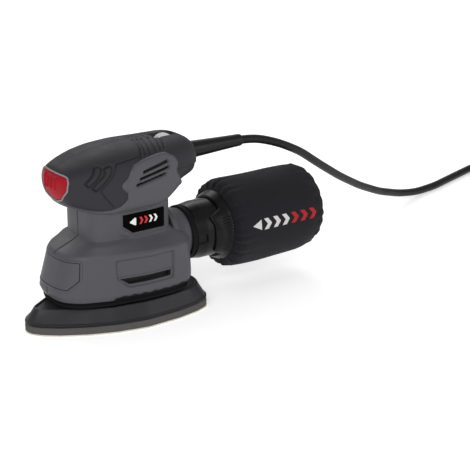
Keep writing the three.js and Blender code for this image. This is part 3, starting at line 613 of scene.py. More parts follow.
def grip_relief(grid):
    """Height of the rubber skin in mm: full beside the shell's line, sunk beyond it, and grooved,
    with a mask of painted shade in the grooves, the crease, the ribs and the dial slot.
    """
    x, y, z = grid[..., 0], np.abs(grid[..., 1]), grid[..., 2]
    grip = within(x, z, GRIP_SHAPE)
    lift = -3.0 * (1 - ramp(grip, -1.3, 0.35)) + 0.12
    side = ramp(y, 9, 14)
    lines = np.minimum(*(nearest(x, z, c, closed=True) for c in CHEVRONS))
    lift = lift - 1.2 * side * dent(lines, 0.9)
    pads = np.maximum(*(within(x, z, c) for c in CHEVRONS))
    lift = lift + 0.55 * side * ramp(pads, 0.5, 1.5)
    crease = nearest(x, z, eased(CREASE, 0.8, 1.2))
    lift = lift - 0.75 * side * dent(crease, 0.85)
    # painted shade along the chevron grooves and the crease
    groove = side * np.maximum(dent(lines, 0.75), dent(crease, 0.75))
    above = z > 116
    for rib in RIBS:
        line = nearest(x, y, rib)
        lift = lift - 1.15 * above * dent(line, 1.0)
        # painted shade along the ribs
        groove = np.maximum(groove, above * dent(line, 0.75))
    lift = lift - 0.07 * above * dent(nearest(x, y, eased(CREST, 0.8, 6)), 6)
    lift = lift - 0.9 * ramp(x, 30, 34) * ramp(HEEL_STEP[0][1] - 0.06 * (x - 31) - z, -0.4, 0.7)
    boot = np.where(x < -40, within(y, z, BOOT_SHAPE), -9)
    lift = lift - 4.2 * ramp(boot, -0.3, 0.9)
    slot = np.minimum(np.minimum(x - DIAL_SLOT[0], DIAL_SLOT[1] - x), DIAL_SLOT[2] - y)
    slot = np.where(z > 110, slot, -9)
    lift = lift - 5.5 * ramp(slot, -0.4, 0.5)
    # the mask paints shade into the dial slot and the grooves
    return lift, np.maximum(ramp(slot, -0.2, 0.4), 0.75 * groove), grip > -3.2


rubber = surface_material("tpe_overmould_matt", RUBBER, 0.6, grain=0.28, depth=0.045, mottle=0.07,
                          mask="slot", scuff=0.16, scuff_colour="#6f6e72")
for side, word in ((-1, "left"), (1, "right")):
    grid, normal = head_grid(side)
    lift, slot, keep = grip_relief(grid)
    shape = grid + normal * lift[..., None]
    made = skin(f"soft_grip_{word}", shape, rubber, "sander_body", f"soft_grip_{word}", keep=keep,
                thick=1.3, values={"slot": slot}, flip=side < 0)

# ---------------------------------------------------------------- switch boot
# A red moulded rubber dust boot over the rocker switch, with raised on and off marks, in a thin
# raised rim bead painted light grey for the highlight along the boot's edge.
BOOT_RED = "#930f1c"
BOOT_BARS = [[(9.2, 110.4), (9.2, 101.6)], [(4.6, 102.6), (4.6, 110.6), (0.2, 110.6), (0.2, 102.6)],
             [(-4.6, 110.6), (-4.6, 102.2)], [(-7.0, 110.8), (-2.4, 110.8)]]


def nose_front(y, z):
    """Where a line along X at (y, z) first meets the head from the front."""
    sizes = eased(HEAD, 0.5, 8)
    x = np.linspace(HEAD[0][0], -20, 900)
    top, under, wide = (np.interp(x, sizes[:, 0], sizes[:, k]) for k in (1, 2, 3))
    cap = (1 - (1 - np.clip((x - x[0]) / NOSE_CAP, 0, 1)) ** NOSE_POWER) ** (1 / NOSE_POWER)
    tall = np.maximum((top - under) / 2 * cap, 1e-3)
    wide = np.maximum(wide * cap, 1e-3)
    middle = (top + under) / 2
    flat_y, flat_z = np.ravel(y), np.ravel(z)
    inside = ((np.abs(flat_y)[:, None] / wide) ** HEAD_POWER
              + (np.abs(flat_z[:, None] - middle) / tall) ** HEAD_POWER) < 1
    first = np.argmax(inside, axis=1)
    found = np.where(inside.any(axis=1), x[first], -30)
    return found.reshape(np.shape(y))


red_rubber = surface_material("red_rubber_satin", BOOT_RED, 0.5, grain=0.22, depth=0.03, shine=0.1,
                              mottle=0.08, scuff=0.12, scuff_colour="#7c1a22")
rim_line = eased(BOOT, 0.35, 1.6, closed=True)
rim_middle = np.array([0, 104.2])
share = np.r_[np.linspace(0.0, 0.93, 60), 0.965, 0.985, 0.99, 0.99]
sunk = np.r_[np.zeros(60), 0.12, 0.45, 1.3, 3.6]
flat = rim_middle + share[:, None, None] * (rim_line - rim_middle)
crown = 1.5 * (1 - share ** 2) - 0.15 - sunk
face_x = nose_front(flat[..., 0], flat[..., 1]) - crown[:, None]
bars = np.full(face_x.shape, 99.0)
for bar in BOOT_BARS:
    bars = np.minimum(bars, nearest(flat[..., 0], flat[..., 1], bar))
face_x = face_x - 0.95 * dent(bars - 0.3, 0.6)
boot = skin("switch_boot", np.stack([face_x, flat[..., 0], flat[..., 1]], -1), red_rubber,
            "switch", "switch_boot", closed=True, thick=1.0, flip=True)


def tube(name, line, radius, material, body, around=12, closed=False):
    """A round bead or wire along a line of points in mm: a circle square to the line at each point."""
    line = np.asarray(line, float)
    radius = np.broadcast_to(radius, (len(line),))
    if closed:
        ahead = np.roll(line, -1, 0) - np.roll(line, 1, 0)
    else:
        ahead = np.gradient(line, axis=0)
    ahead /= np.linalg.norm(ahead, axis=1, keepdims=True)
    across = np.cross(ahead[0], (0.12, 0.3, 0.95))
    across /= np.linalg.norm(across)
    rows = []
    turn = np.linspace(0, 2 * np.pi, around, endpoint=False)
    for point, way, size in zip(line, ahead, radius):
        across = across - way * np.dot(across, way)
        across /= np.linalg.norm(across)
        other = np.cross(way, across)
        rows.append(point + size * (np.cos(turn)[:, None] * across + np.sin(turn)[:, None] * other))
    grid = np.array(rows)
    if closed:
        grid = np.concatenate([grid, grid[:1]])
    return skin(name, grid, material, body, closed=True, caps=not closed)


# painted highlight: the rim bead's light grey stands for the highlight along the boot's bevel
rim_bead_highlight_grey = surface_material("rim_bead_painted_highlight", "#78777b", 0.42, grain=0.3, depth=0.02, mottle=0.05)
bead_at = rim_middle + 1.03 * (rim_line - rim_middle)
bead_x = nose_front(bead_at[:, 0], bead_at[:, 1]) - 0.25
bead = tube("boot_rim", np.c_[bead_x, bead_at], 0.6, rim_bead_highlight_grey, "sander_body", closed=True, around=10)

# ---------------------------------------------------------------- badge and nose panel
# Thin press-in plates: a black badge each side of the waist with a printed grit triangle and arrow
# marks, and a grey panel at the point of the bell that covers the guide fence pocket.
BADGE_BLACK = "#060607"


def plate(name, outline, low, high, material, body, node=None, edge=0.35):
    """A flat plate on a side wall: its outline in (x, z), from depth low to height high along Y,
    with a small rolled edge on its outer face."""
    loop = np.array(outline, float)
    middle = loop.mean(0)
    span = np.abs(loop - middle).max()
    pull = 1 - edge / span
    deep = high - np.sign(high - low) * edge
    rings = [(middle + 0.001 * (loop - middle), low), (loop, low), (loop, deep),
             (middle + (1 + pull) / 2 * (loop - middle), high - np.sign(high - low) * edge * 0.2),
             (middle + pull * (loop - middle), high), (middle + 0.001 * (loop - middle), high)]
    grid = np.array([np.c_[r[:, 0], np.full(len(r), y), r[:, 1]] for r, y in rings])
    area = np.sum(loop[:, 0] * np.roll(loop[:, 1], -1) - np.roll(loop[:, 0], -1) * loop[:, 1])
    return skin(name, grid, material, body, node, closed=True, flip=(area > 0) == (high > low),
                smooth=False)


badge_black = surface_material("abs_gloss_black", BADGE_BLACK, 0.2, grain=0.5, depth=0.004,
                               mottle=0.15, shine=0.01, scuff=0.02)
print_white = surface_material("screen_print_white", "#d9d9d6", 0.45, grain=0.2, depth=0.01)
print_red = surface_material("screen_print_red", "#c02a2e", 0.45, grain=0.2, depth=0.01)
BADGE_EDGE = [(-10.9, 80.4), (22.6, 80.4), (22.4, 66.6), (-3.2, 66.6), (-10.9, 72.6)]
TRIANGLE = [(-5.6, 74.9), (-1.4, 77.4), (-0.6, 77.0), (-0.6, 72.0), (-1.5, 71.7), (-5.6, 74.1)]
for side, word in ((-1, "left"), (1, "right")):
    badge_face = side * 24.35
    made = plate(f"badge_{word}", eased(BADGE_EDGE, 0.5, 0.8, closed=True), side * 22.6, badge_face,
                 badge_black, "sander_body", f"badge_{word}")
    ink = side * 24.42
    mark = plate(f"badge_triangle_{word}", TRIANGLE, side * 24.2, ink, print_white, "sander_body", edge=0.02)
    for k in range(4):
        x0 = 2.0 + 3.9 * k
        arrow = [(x0, 77.1), (x0 + 1.7, 77.1), (x0 + 3.3, 74.5), (x0 + 1.7, 71.9), (x0, 71.9),
                 (x0 + 1.6, 74.5)]
        mark = plate(f"badge_arrow_{word}_{k + 1}", arrow, side * 24.2, ink,
                     print_red if k < 2 else print_white, "sander_body", edge=0.02)

panel_shape = grown(PANEL_SHAPE, -0.12)
middle = panel_shape.mean(0)
share = np.r_[np.linspace(0.001, 0.955, 40), 0.975, 0.99, 0.998, 1.0]
sunk = np.r_[np.zeros(40), 0.03, 0.14, 0.4, 1.5]
flat = middle + share[:, None, None] * (panel_shape - middle)
grid = raised(bell_nose, flat[..., 0], flat[..., 1], 0.12 - sunk, 1)
panel = skin("nose_panel", grid, nylon, "sander_body", "nose_panel", closed=True, thick=1.0,
             flip=True, values={"slot": np.zeros(grid.shape[:2])})

# ---------------------------------------------------------------- sanding pad
# A glass-filled black platen with a bevelled rim and a thin lip, a hook-faced foam layer bonded under
# it, the punched abrasive sheet, and the rubber dust skirt that closes the gap to the bell.
PAD = [(-77, 0), (-76, 5), (-72, 10.5), (-61, 19.6), (-43, 29.6), (-24, 37), (-2, 41.4), (24, 40.4),
       (42, 37), (52, 33), (57, 26), (58.5, 16), (58.8, 0)]
RIDGE = [(-69.5, 0), (-68.4, 3.6), (-55.5, 12.2), (-39.3, 22.9), (-24, 30), (0.9, 33.9), (22, 33.4),
         (38.1, 31.2), (48, 25.5), (52.4, 19), (53.6, 12), (53.8, 0)]
BEVEL = 7.0
DUST_HOLES = [(-55, 0), (-25, -21), (-25, 21), (-3, -27), (-3, 27), (44, -16), (44, 16)]
DUST_HOLE_R = 4.0
pad_loop = eased(mirrored(PAD), 0.5, 4, closed=True)
ridge_loop = eased(mirrored(RIDGE), 0.5, 3, closed=True)


def slab(name, loop, run, material, body, node, columns=420, step=0.6, soft=0.4, lumps=0.0,
         holes=False, inner=None, band=None):
    """A flat-lying piece: one outline about the bell's centre, and a run of (inset, height) that
    starts and ends near the middle. Holes sink the underside and paint it dark, for the pad and
    the shade seen through them; an inner outline is reached where the inset is BEVEL, and a band
    of heights gets painted shade."""
    turn = np.linspace(-np.pi, np.pi, columns, endpoint=False)
    span = reach(loop, turn)
    curve = np.stack([span * np.cos(turn), span * np.sin(turn)], 1)
    along = np.r_[0, np.cumsum(np.linalg.norm(np.diff(np.vstack([curve, curve[:1]]), axis=0), axis=1))]
    turn = np.interp(np.linspace(0, along[-1], columns, endpoint=False), along,
                     np.r_[turn, np.pi])
    span = reach(loop, turn)
    line = eased(run, step, soft)
    inset, height = line[:, :1], np.repeat(line[:, 1:], columns, 1)
    share = np.clip(1 - inset / 34.0, 0.02, 1) if holes else None
    radius = span * share if holes else np.maximum(span - inset, 0.4)
    if inner is not None:
        top = reach(inner, turn)
        radius = np.where(inset < BEVEL, span - (span - top) * inset / BEVEL, top - (inset - BEVEL))
        radius = np.maximum(radius, 0.4)
    grid = np.stack([BELL_CENTRE[0] + radius * np.cos(turn), radius * np.sin(turn), height], -1)
    slot = np.zeros(grid.shape[:2])
    if holes:
        # the punched dust holes are painted dark: the pad face seen through them, in shade
        for x0, y0 in DUST_HOLES:
            slot = np.maximum(slot, ramp(DUST_HOLE_R - np.hypot(grid[..., 0] - x0, grid[..., 1] - y0),
                                         -0.25, 0.25))
        grid[..., 2] += 0.5 * slot * (grid[..., 2] < 0.3)
        slot = slot * (grid[..., 2] < 0.65)
    if band:
        # painted shade over the band of heights
        slot = 0.8 * (height > band[0]) * (height < band[1])
    if lumps:
        wave = (np.sin(turn * 61) + np.sin(turn * 97 + 1.3) + np.sin(turn * 151 + 0.4)) / 3
        grid[..., 0] += lumps * wave * np.cos(turn)
        grid[..., 1] += lumps * wave * np.sin(turn)
    return skin(name, grid, material, body, node, closed=True, caps=True, values={"slot": slot})


platen_plastic = surface_material("pa6_black_moulded", "#29292c", 0.42, grain=0.25, depth=0.02,
                                  mask="slot", mottle=0.12, scuff=0.22, scuff_colour="#4c4c50")
foam_grey = surface_material("eva_foam_cut", "#4f4e4d", 0.95, grain=0.5, depth=0.16, mottle=0.14,
                             shine=0.1, scuff=0.35, scuff_colour="#5c5d5f")
grit_paper = surface_material("aluminium_oxide_paper", "#cfcabd", 0.85, grain=0.28, depth=0.12,
                              mottle=0.18, mask="slot", scuff=0.3, scuff_colour="#9d8f74")
skirt_rubber = surface_material("epdm_skirt_matt", "#0e0e10", 0.7, grain=0.3, depth=0.03, shine=0.1,
                                mottle=0.1)
PLATEN_RUN = [(31, 6.5), (3.2, 6.5), (0.9, 6.5), (0.25, 6.9), (0.1, 8.0), (0.5, 8.5), (1.1, 8.8),
              (6.0, 16.5), (6.5, 17.2), (7.4, 17.3), (8.0, 16.7), (8.6, 16.2), (31, 16.2)]
# the band from 6.6 to 8.3 mm high is the thin lip, painted dark as the shadow under its overhang
made = slab("platen", pad_loop, PLATEN_RUN, platen_plastic, "pad", "platen", step=0.3, soft=0.4,
            inner=ridge_loop, band=(6.6, 8.3))
foam = slab("foam_pad", pad_loop, [(31, 1.1), (1.0, 1.1), (0.35, 1.4), (0.12, 3.7), (0.35, 6.0), (0.9, 6.3),
                                   (31, 6.3)], foam_grey, "pad", "foam_pad", step=0.35, lumps=0.12)
sheet = slab("abrasive_sheet", pad_loop, [(33.3, 0.05), (0, 0.05), (-0.12, 0.3), (-0.1, 0.9), (0.2, 1.05),
                                          (33.3, 1.05)], grit_paper, "pad", "abrasive_sheet",
             columns=520, step=0.5, soft=0.5, holes=True)
made = slab("dust_skirt", lip_loop, [(9, 18.9), (4.2, 18.9), (3.0, 19.3), (2.5, 20.6), (4.2, 22.0),
                                     (2.9, 23.3), (4.4, 24.8), (3.4, 26.2), (3.2, 27.3), (9, 27.4)],
            skirt_rubber, "sander_body", "dust_skirt", step=0.4, soft=0.6)

# ---------------------------------------------------------------- dust port
# A nylon spigot flares out of the heel and carries a black seal; a bayonet adapter turns on it, and
# the bag's clip ring slides over that with a ribbed finger grip each side.
PORT_Z = 48.5


def lathe(name, run, shape, material, body, node, around=300, step=0.35, soft=0.35):
    """A piece turned about the port's axis from a run of (position, radius); shape changes the radius
    and gives a mask of painted shade from position and angle, for cut slots and grooves."""
    line = eased(run, step, soft)
    turn = np.linspace(-np.pi, np.pi, around, endpoint=False)
    x = np.repeat(line[:, :1], around, 1)
    radius = np.repeat(line[:, 1:2], around, 1)
    mask = np.zeros(x.shape)
    if shape:
        x, radius, mask = shape(x, radius, np.broadcast_to(turn, x.shape))
    grid = np.stack([x, -radius * np.cos(turn), PORT_Z + radius * np.sin(turn)], -1)
    return skin(name, grid, material, body, node, closed=True, values={"slot": mask})


SPIGOT_RUN = [(35, 16.1), (33, 20), (33, 24.6), (37, 24), (40.5, 21.8), (44.5, 19.8), (47.5, 19.0),
              (50.5, 18.7), (60.8, 18.4), (61, 16.1), (35, 16.1)]
spigot = lathe("dust_port", SPIGOT_RUN, None, nylon, "sander_body", "dust_port")
SEAL_RUN = [(49.9, 18.5), (49.6, 19.9), (50.2, 20.4), (53, 20.4), (53.6, 20), (53.5, 18.5), (49.9, 18.5)]
seal = lathe("spigot_seal", SEAL_RUN, None, skirt_rubber, "sander_body", "spigot_seal")
port_plastic = surface_material("abs_satin_black", "#0f0f11", 0.3, grain=0.3, depth=0.012,
                                mottle=0.14, shine=0.14, mask="slot", scuff=0.16, scuff_colour="#3a3a3d")
COLLAR_R = 21.4
BAYONET = [(60.6, 1.6), (61.0, -3.8), (51.5, -3.8)]


def adapter_shape(x, radius, turn):
    """Two L-shaped bayonet slots cut in the collar, painted dark inside as their shade."""
    mask = np.zeros(x.shape)
    for start in (0, np.pi):
        arc = np.angle(np.exp(1j * (turn - start))) * COLLAR_R
        cut = 1.15 - nearest(x, arc, BAYONET)
        # painted shade inside the cut slots
        mask = np.maximum(mask, ramp(cut, -0.25, 0.25))
    mask = mask * (radius > 19.6)
    return x, radius - 1.7 * mask, mask


ADAPTER_RUN = [(55, 18.7), (54.2, 19.9), (54.6, 20.3), (56, 20.5), (62.5, 21.5), (75.4, 21.5),
               (76.4, 21.3), (76.6, 20), (76.6, 17.2), (62.5, 17.2), (62.5, 18.7), (55, 18.7)]
adapter = lathe("bag_adapter", ADAPTER_RUN, adapter_shape, port_plastic, "adapter", "bag_adapter",
                around=420)


def ring_shape(x, radius, turn):
    """The clip ring's front edge runs forward into a pointed grip each side, ribbed at the back,
    with painted shade between the ribs.
    """
    front = np.zeros(x.shape)
    rib = np.zeros(x.shape)
    for start in (0, np.pi):
        turned = np.degrees(np.angle(np.exp(1j * (turn - start))))
        tongue = np.interp(turned, [-46, -40, -34, 22, 30, 38, 48, 52], [0, 5.6, 7.2, 7.6, 9.0, 9.6, 1.2, 0])
        front = np.maximum(front, tongue)
        rib = np.maximum(rib, ramp(turned, -34, -30) * (1 - ramp(turned, 33, 36)))
    near = np.clip((78.5 - x) / (78.5 - 75.4), 0, 1) * (radius > 20)
    x = x - near * front
    ribbed = rib * ramp(x, 73.5, 75) * (1 - ramp(x, 80.8, 81.8)) * (radius > 22.8)
    radius = radius - 0.42 * ribbed * (0.5 - 0.5 * np.cos(turn * 74))
    # the mask paints shade into the grooves between the ribs
    return x, radius, 0.25 * ribbed * (0.5 - 0.5 * np.cos(turn * 74))


RING_RUN = [(75.8, 21.7), (75.4, 22.2), (75.5, 23.0), (76.0, 23.5), (78.5, 24.7), (80.8, 25.8),
            (81.3, 26.2), (82.2, 26.2), (82.4, 25.6), (82.3, 21.7), (75.8, 21.7)]
clip_ring = lathe("bag_ring", RING_RUN, ring_shape, port_plastic, "bag", "bag_ring", around=740,
                  step=0.3, soft=0.3)

# ---------------------------------------------------------------- dust bag
# A sewn sleeve of black woven polyester, gathered on to the clip ring and closed by a disc with a
# bound seam at the far end; the printed triangle and arrows sit on its near side.
BAG_BLACK = "#1d1c20"
BAG_RUN = [(82.7, 22.0), (82.7, 25.0), (83.0, 28.0), (84.6, 30.6), (88.5, 31.9), (96, 32.3), (112, 32.5),
           (135, 32.6), (150, 32.4), (157.5, 31.5), (161.4, 29.2), (163.6, 25.5), (164.8, 19),
           (165.2, 10), (165.0, 0.3)]
MARK_START = 92.5
MARK_TURN = 0.15


def bag_shape(x, radius, turn):
    """Gathers at the ring, slack puckers along the end seam and broad soft lumps between."""
    gather = np.exp(-np.maximum(x - 83.5, 0) / 5.5) * (radius > 23)
    crimp = np.sin(turn * 26 + 0.9 * np.sin(turn * 5)) + 0.5 * np.sin(turn * 41 + 1.1)
    pucker = np.exp(-((x - 158.5) / 4.2) ** 2)
    tuck = np.sin(turn * 19 + 1.3 * np.sin(turn * 3)) + 0.4 * np.sin(turn * 33)
    lumps = (np.sin(turn * 2 + x * 0.045) * 0.5 + np.sin(turn * 3 - x * 0.07 + 1) * 0.35
             + np.sin(turn * 5 + x * 0.11 + 2) * 0.22)
    body = ramp(x, 84, 95) * (1 - ramp(x, 156, 164))
    radius = radius + 0.8 * gather * crimp + 0.7 * pucker * tuck + 0.85 * lumps * body
    radius = radius - 3.2 * ramp(x, 142, 165) * (0.5 - 0.5 * np.sin(turn)) * np.minimum(radius / 26, 1)
    binding = np.exp(-((x - 161.0) / 0.9) ** 2) * (radius > 24)
    stitch = np.exp(-((x - 158.4) / 0.35) ** 2) * (0.6 + 0.4 * np.sin(turn * 90))
    seam = np.exp(-((turn + 1.9) * 32 / 0.7) ** 2)
    return x, radius + 0.55 * binding - 0.4 * stitch - 0.5 * seam * body, np.zeros(x.shape)


THREAD = 0.45
ARROWS_FROM, ARROWS_TO, ARROW_EVERY = 14.6, 63.6, 8.3
RED_FROM = 37.2


def cloth_material(name, colour):
    """Plain weave 0.45 mm apart, thread-level bump, dusty mottling, a soft sheen and a printed mark:
    arrow bands that repeat along the sleeve, white then red, with a triangle before them."""
    made = surface_material(name, colour, 0.82, grain=0.6, depth=0.05, mottle=0.2, sheen=0.04,
                            shine=0.08, scuff=0.3, scuff_colour="#323036")
    tree = made.node_tree
    body = tree.nodes["Principled BSDF"]
    u = add(tree, "ShaderNodeAttribute", {"attribute_name": "mark_u"}).outputs["Fac"]
    v = add(tree, "ShaderNodeAttribute", {"attribute_name": "mark_v"}).outputs["Fac"]

    def math(kind, a, b=0.0):
        return add(tree, "ShaderNodeMath", {"operation": kind}, i0=a, i1=b).outputs[0]

    warp = math("SINE", math("MULTIPLY", u, 2 * np.pi / THREAD))
    weft = math("SINE", math("MULTIPLY", v, 2 * np.pi / THREAD))
    weave = math("MULTIPLY", warp, weft)
    old = body.inputs["Normal"].links[0].from_node
    bump = add(tree, "ShaderNodeBump", Strength=1.0, Distance=0.05 * MM, Height=weave,
               Normal=old.outputs["Normal"])
    tree.links.new(bump.outputs["Normal"], body.inputs["Normal"])
    off = math("ABSOLUTE", v)
    bent = math("ADD", u, math("MULTIPLY", off, 0.75))
    inside = math("LESS_THAN", off, 4.1)
    phase = math("FRACT", math("DIVIDE", math("SUBTRACT", bent, ARROWS_FROM), ARROW_EVERY))
    marked = math("MULTIPLY", math("GREATER_THAN", bent, ARROWS_FROM), math("LESS_THAN", bent, ARROWS_TO))
    bands = math("MULTIPLY", math("LESS_THAN", phase, 0.46), marked)
    tip = math("MULTIPLY", math("GREATER_THAN", u, 1.5),
               math("MULTIPLY", math("LESS_THAN", u, 9.2),
                    math("LESS_THAN", off, math("MULTIPLY", math("SUBTRACT", u, 1.5), 0.5))))
    printed = math("MULTIPLY", inside, math("MAXIMUM", bands, tip))
    worn = add(tree, "ShaderNodeTexNoise", Scale=900.0, Detail=3.0,
               Vector=add(tree, "ShaderNodeTexCoord").outputs["Object"]).outputs["Fac"]
    printed = math("MULTIPLY", printed, add(tree, "ShaderNodeMapRange", i0=worn, i1=0.2, i2=0.4, i3=0.5,
                                            i4=0.95).outputs[0])
    ink = add(tree, "ShaderNodeMix", {"data_type": "RGBA"}, i0=math("GREATER_THAN", bent, RED_FROM),
              i6=linear("#c9c8c6"), i7=linear("#a3262a")).outputs[2]
    base = body.inputs["Base Color"].links[0].from_socket
    tone = add(tree, "ShaderNodeMix", {"data_type": "RGBA"}, i0=printed, i6=base, i7=ink).outputs[2]
    tree.links.new(tone, body.inputs["Base Color"])
    return made


PUFF_MOST = 1.6


def puffed(grid, keep_before):
    """A sleeve blown up by a short cloth run with its mouth pinned: the movement of a coarse
    remeshed copy, capped in mm, is carried back to the fine grid."""
    rows, columns = grid.shape[:2]
    coarse = grid[::6, ::10]
    index = np.arange(coarse.shape[0] * coarse.shape[1]).reshape(coarse.shape[:2])
    right = np.roll(index, -1, 1)
    faces = np.stack([index[:-1], right[:-1], right[1:], index[1:]], -1).reshape(-1, 4).tolist()
    faces += [index[0].tolist()[::-1], index[-1].tolist()]
    mesh = bpy.data.meshes.new("bag_form")
    mesh.from_pydata((coarse.reshape(-1, 3) * MM).tolist(), [], faces)
    form = bpy.data.objects.new("bag_form", mesh)
    bpy.context.collection.objects.link(form)
    remesh = form.modifiers.new("even", "REMESH")
    remesh.mode = "VOXEL"
    remesh.voxel_size = 0.0045
    graph = bpy.context.evaluated_depsgraph_get()
    even = bpy.data.meshes.new_from_object(form.evaluated_get(graph))
    form.modifiers.clear()
    form.data = even
    rest = np.array([v.co[:] for v in even.vertices])
    pins = form.vertex_groups.new(name="mouth")
    pins.add([i for i, p in enumerate(rest) if p[0] < keep_before * MM], 1.0, "REPLACE")
    cloth = form.modifiers.new("air", "CLOTH")
    cloth.settings.vertex_group_mass = "mouth"
    cloth.settings.use_pressure = True
    cloth.settings.uniform_pressure_force = 4
    cloth.settings.quality = 6
    cloth.settings.effector_weights.gravity = 0
    for number in range(1, 21):
        bpy.context.scene.frame_set(number)
    graph = bpy.context.evaluated_depsgraph_get()
    blown = form.evaluated_get(graph).to_mesh()
    moved = (np.array([v.co[:] for v in blown.vertices]) - rest) / MM
    form.evaluated_get(graph).to_mesh_clear()
    bpy.context.scene.frame_set(1)
    size = np.linalg.norm(moved, axis=1, keepdims=True)
    moved *= np.minimum(1, PUFF_MOST / np.maximum(size, 1e-6))
    bpy.data.objects.remove(form)
    tree = KDTree(len(rest))
    for i, p in enumerate(rest):
        tree.insert(p, i)
    tree.balance()
    push = np.zeros((rows * columns, 3))
    for i, p in enumerate(grid.reshape(-1, 3) * MM):
        near = tree.find_n(p, 7)
        weight = np.array([1 / (d + 0.002) for _, _, d in near])
        push[i] = (moved[[k for _, k, _ in near]] * weight[:, None]).sum(0) / weight.sum()
    return grid + push.reshape(grid.shape)


bag_cloth = cloth_material("polyester_plain_weave", BAG_BLACK)
line = eased(BAG_RUN, 0.6, 1.0)
BAG_AROUND = 360
turn = np.linspace(-np.pi, np.pi, BAG_AROUND, endpoint=False)
angle = np.broadcast_to(turn, (len(line), BAG_AROUND))
x, radius, _ = bag_shape(np.repeat(line[:, :1], BAG_AROUND, 1), np.repeat(line[:, 1:2], BAG_AROUND, 1), angle)
grid = np.stack([x, -radius * np.cos(angle), PORT_Z + radius * np.sin(angle)], -1)
grid = puffed(grid, 86)
grid[-1] = grid[-1].mean(0)
bag = skin("dust_bag", grid, bag_cloth, "bag", "dust_bag", closed=True, thick=0.7,
           values={"mark_u": x - MARK_START, "mark_v": (angle - MARK_TURN) * 32.5})

# ---------------------------------------------------------------- mains lead
# Two-core round vinyl lead, 6.4 mm, leaving through a tapered moulded strain relief; what is not laid
# out is wound in a neat coil with a strap round it, and the moulded plug lies beside the coil.
CORD_R = 3.2
ROUTE = [(98, 0, 110), (105, 0, 110), (114, 0.3, 109.3), (124, 0.8, 107.4), (144, 3, 100),
         (167, 8, 88.5), (193, 16, 71.3), (223.5, 28, 52.6), (256, 42, 35), (289, 55, 20),
         (320, 65, 9.6), (345, 71, 4.4), (372, 76.5, 3.5), (404, 86.8, 3.5), (436, 97, 3.5),
         (456, 102.2, 3.5), (476, 105.5, 3.5)]
COIL_AT = (505, 62)
COIL_MEAN = 38
TURNS = [(6.6, 3.5), (0, 3.5), (-6.6, 3.5), (-3.3, 9.3), (0, 15.0), (3.3, 9.3), (3.3, 11.2)]
PLUG_END = (553, 103.3, 11.4)


def coil_line():
    """Centre line of the wound turns: one slot of the bundle a turn, changed over its last third."""
    turn = np.arange(0, 6, 1 / 40)
    k = turn.astype(int)
    slots = np.array(TURNS, float)
    part = ramp(turn - k, 0.62, 1.0)[:, None]
    place = slots[k] * (1 - part) + slots[k + 1] * part
    angle = np.pi / 2 - turn * 2 * np.pi
    radius = COIL_MEAN + place[:, 0]
    return np.stack([COIL_AT[0] + radius * np.cos(angle), COIL_AT[1] + radius * np.sin(angle),
                     place[:, 1]], 1)


vinyl = surface_material("pvc_lead_black", "#09090b", 0.45, grain=0.4, depth=0.012, mottle=0.12,
                         scuff=0.12, scuff_colour="#3a3a3c")
laid = eased(ROUTE, 3.0, 14)
coil = coil_line()
tail = eased([(505, 103.3, 11.2), (520, 103.3, 11.2), (536, 103.3, 11.3), PLUG_END], 4, 4)
line = np.vstack([laid[:-3], eased(np.vstack([laid[-3:], coil[2:]]), 4.0, 6), tail[1:]])
line = eased(line, 4.0, 8)
curve = bpy.data.curves.new("mains_lead", "CURVE")
curve.dimensions = "3D"
curve.bevel_depth = CORD_R * MM
curve.bevel_resolution = 5
curve.use_fill_caps = True
spline = curve.splines.new("POLY")
spline.points.add(len(line) - 1)
spline.points.foreach_set("co", np.c_[line * MM, np.ones(len(line))].ravel())
lead = bpy.data.objects.new("mains_lead", curve)
bpy.context.collection.objects.link(lead)
lead.data.materials.append(vinyl)
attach(lead, "sander_body")
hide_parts("mains_cord", "cord_coil")

CORD_Z = 110.0
relief_pvc = surface_material("pvc_strain_relief", "#101012", 0.36, grain=0.4, depth=0.01, mottle=0.12,
                              scuff=0.1, scuff_colour="#3c3c3f")
RELIEF_RUN = [(52.5, 0.6), (52.5, 6.2), (56, 6.2), (58, 6.3), (61, 6.35), (70, 5.9), (85, 5.2), (98, 4.65),
              (103.6, 4.5), (105, 4.1), (105.2, 3.3), (104.0, 3.22), (60, 3.22)]
run = eased(RELIEF_RUN, 0.4, 0.5)
turn = np.linspace(-np.pi, np.pi, 72, endpoint=False)
rings = np.stack([np.repeat(run[:, :1], 72, 1), -run[:, 1:] * np.cos(turn),
                  CORD_Z + run[:, 1:] * np.sin(turn)], -1)
relief = skin("cord_strain_relief", rings, relief_pvc, "sander_body", "cord_strain_relief", closed=True,
              caps=True)

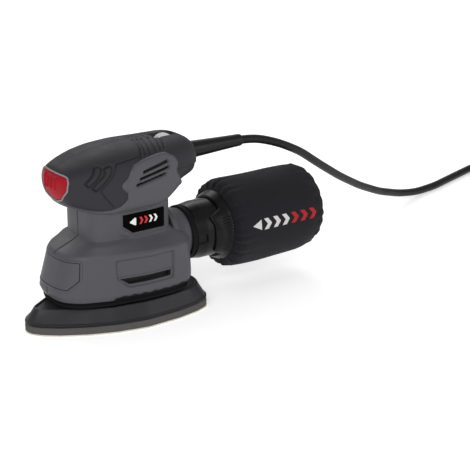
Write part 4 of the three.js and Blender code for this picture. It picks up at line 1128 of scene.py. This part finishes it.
# ---------------------------------------------------------------- speed dial
# A pale thumbwheel standing on edge in a slot at the back of the head, its rim cut with grip notches.
DIAL_AT = (38.5, 116.4)
pale = surface_material("abs_thumbwheel_pale", "#bfbfbd", 0.4, grain=0.35, depth=0.015, mottle=0.05,
                        scuff=0.1, scuff_colour="#a9a9a6")
run = eased([(-4.4, 1.5), (-4.4, 7.8), (-3.9, 9.2), (3.9, 9.2), (4.4, 7.8), (4.4, 1.5)], 0.3, 0.35)
turn = np.linspace(0, 2 * np.pi, 320, endpoint=False)
notch = 0.55 * np.clip(np.cos(turn * 32) - 0.1, 0, 1)
radius = run[:, 1:] - notch * (run[:, 1:] > 7.6)
rings = np.stack([DIAL_AT[0] + radius * np.cos(turn), np.repeat(run[:, :1], 320, 1),
                  DIAL_AT[1] + radius * np.sin(turn)], -1)
dial = skin("speed_dial", rings, pale, "dial", "speed_dial", closed=True, caps=True, flip=True)

# ---------------------------------------------------------------- works inside
# Motor, bearings, eccentric, brushes, switch, board and fastenings keep their CAD shapes and get the
# finish of what they are made of.
INSIDE = {
    "nylon": nylon, "soft_rubber": skirt_rubber, "red_rubber": red_rubber, "black_plastic": port_plastic,
    "cord_vinyl": vinyl, "pale_plastic": pale, "badge": badge_black,
    "steel": surface_material("steel_ground", "#9a9c9f", 0.3, grain=0.15, depth=0.004, metallic=1.0,
                              streak=(1, 1, 14), mottle=0.1, scuff=0.1, scuff_colour="#6c6660"),
    "zinc": surface_material("zinc_die_cast", "#7c7e81", 0.48, grain=0.3, depth=0.02, metallic=1.0,
                             mottle=0.15),
    "brass": surface_material("brass_pressed", "#b08a3c", 0.3, grain=0.2, depth=0.006, metallic=1.0,
                              mottle=0.12, scuff=0.2, scuff_colour="#7a5c22"),
    "copper": surface_material("copper_enamelled_wire", "#8c4220", 0.35, grain=0.5, depth=0.12,
                               metallic=1.0, streak=(1, 1, 5), mottle=0.2),
    "laminated": surface_material("steel_laminations", "#3d3f43", 0.5, grain=0.5, depth=0.06,
                                  metallic=0.9, streak=(0.2, 0.2, 8), mottle=0.2),
    "carbon": surface_material("carbon_pressed", "#141414", 0.7, grain=0.2, depth=0.02, mottle=0.2),
    "board": surface_material("glass_epoxy_board", "#1c4a2a", 0.4, grain=0.6, depth=0.02, mottle=0.15),
    "foam": foam_grey, "grit": grit_paper, "cloth": bag_cloth,
}
for entry in frame["record"]["subparts"]:
    holder = bpy.data.objects.get(entry["node"])
    if holder and holder.type == "MESH" and holder.data.materials:
        for place in holder.material_slots:
            place.material = INSIDE[entry["material_slot"]]
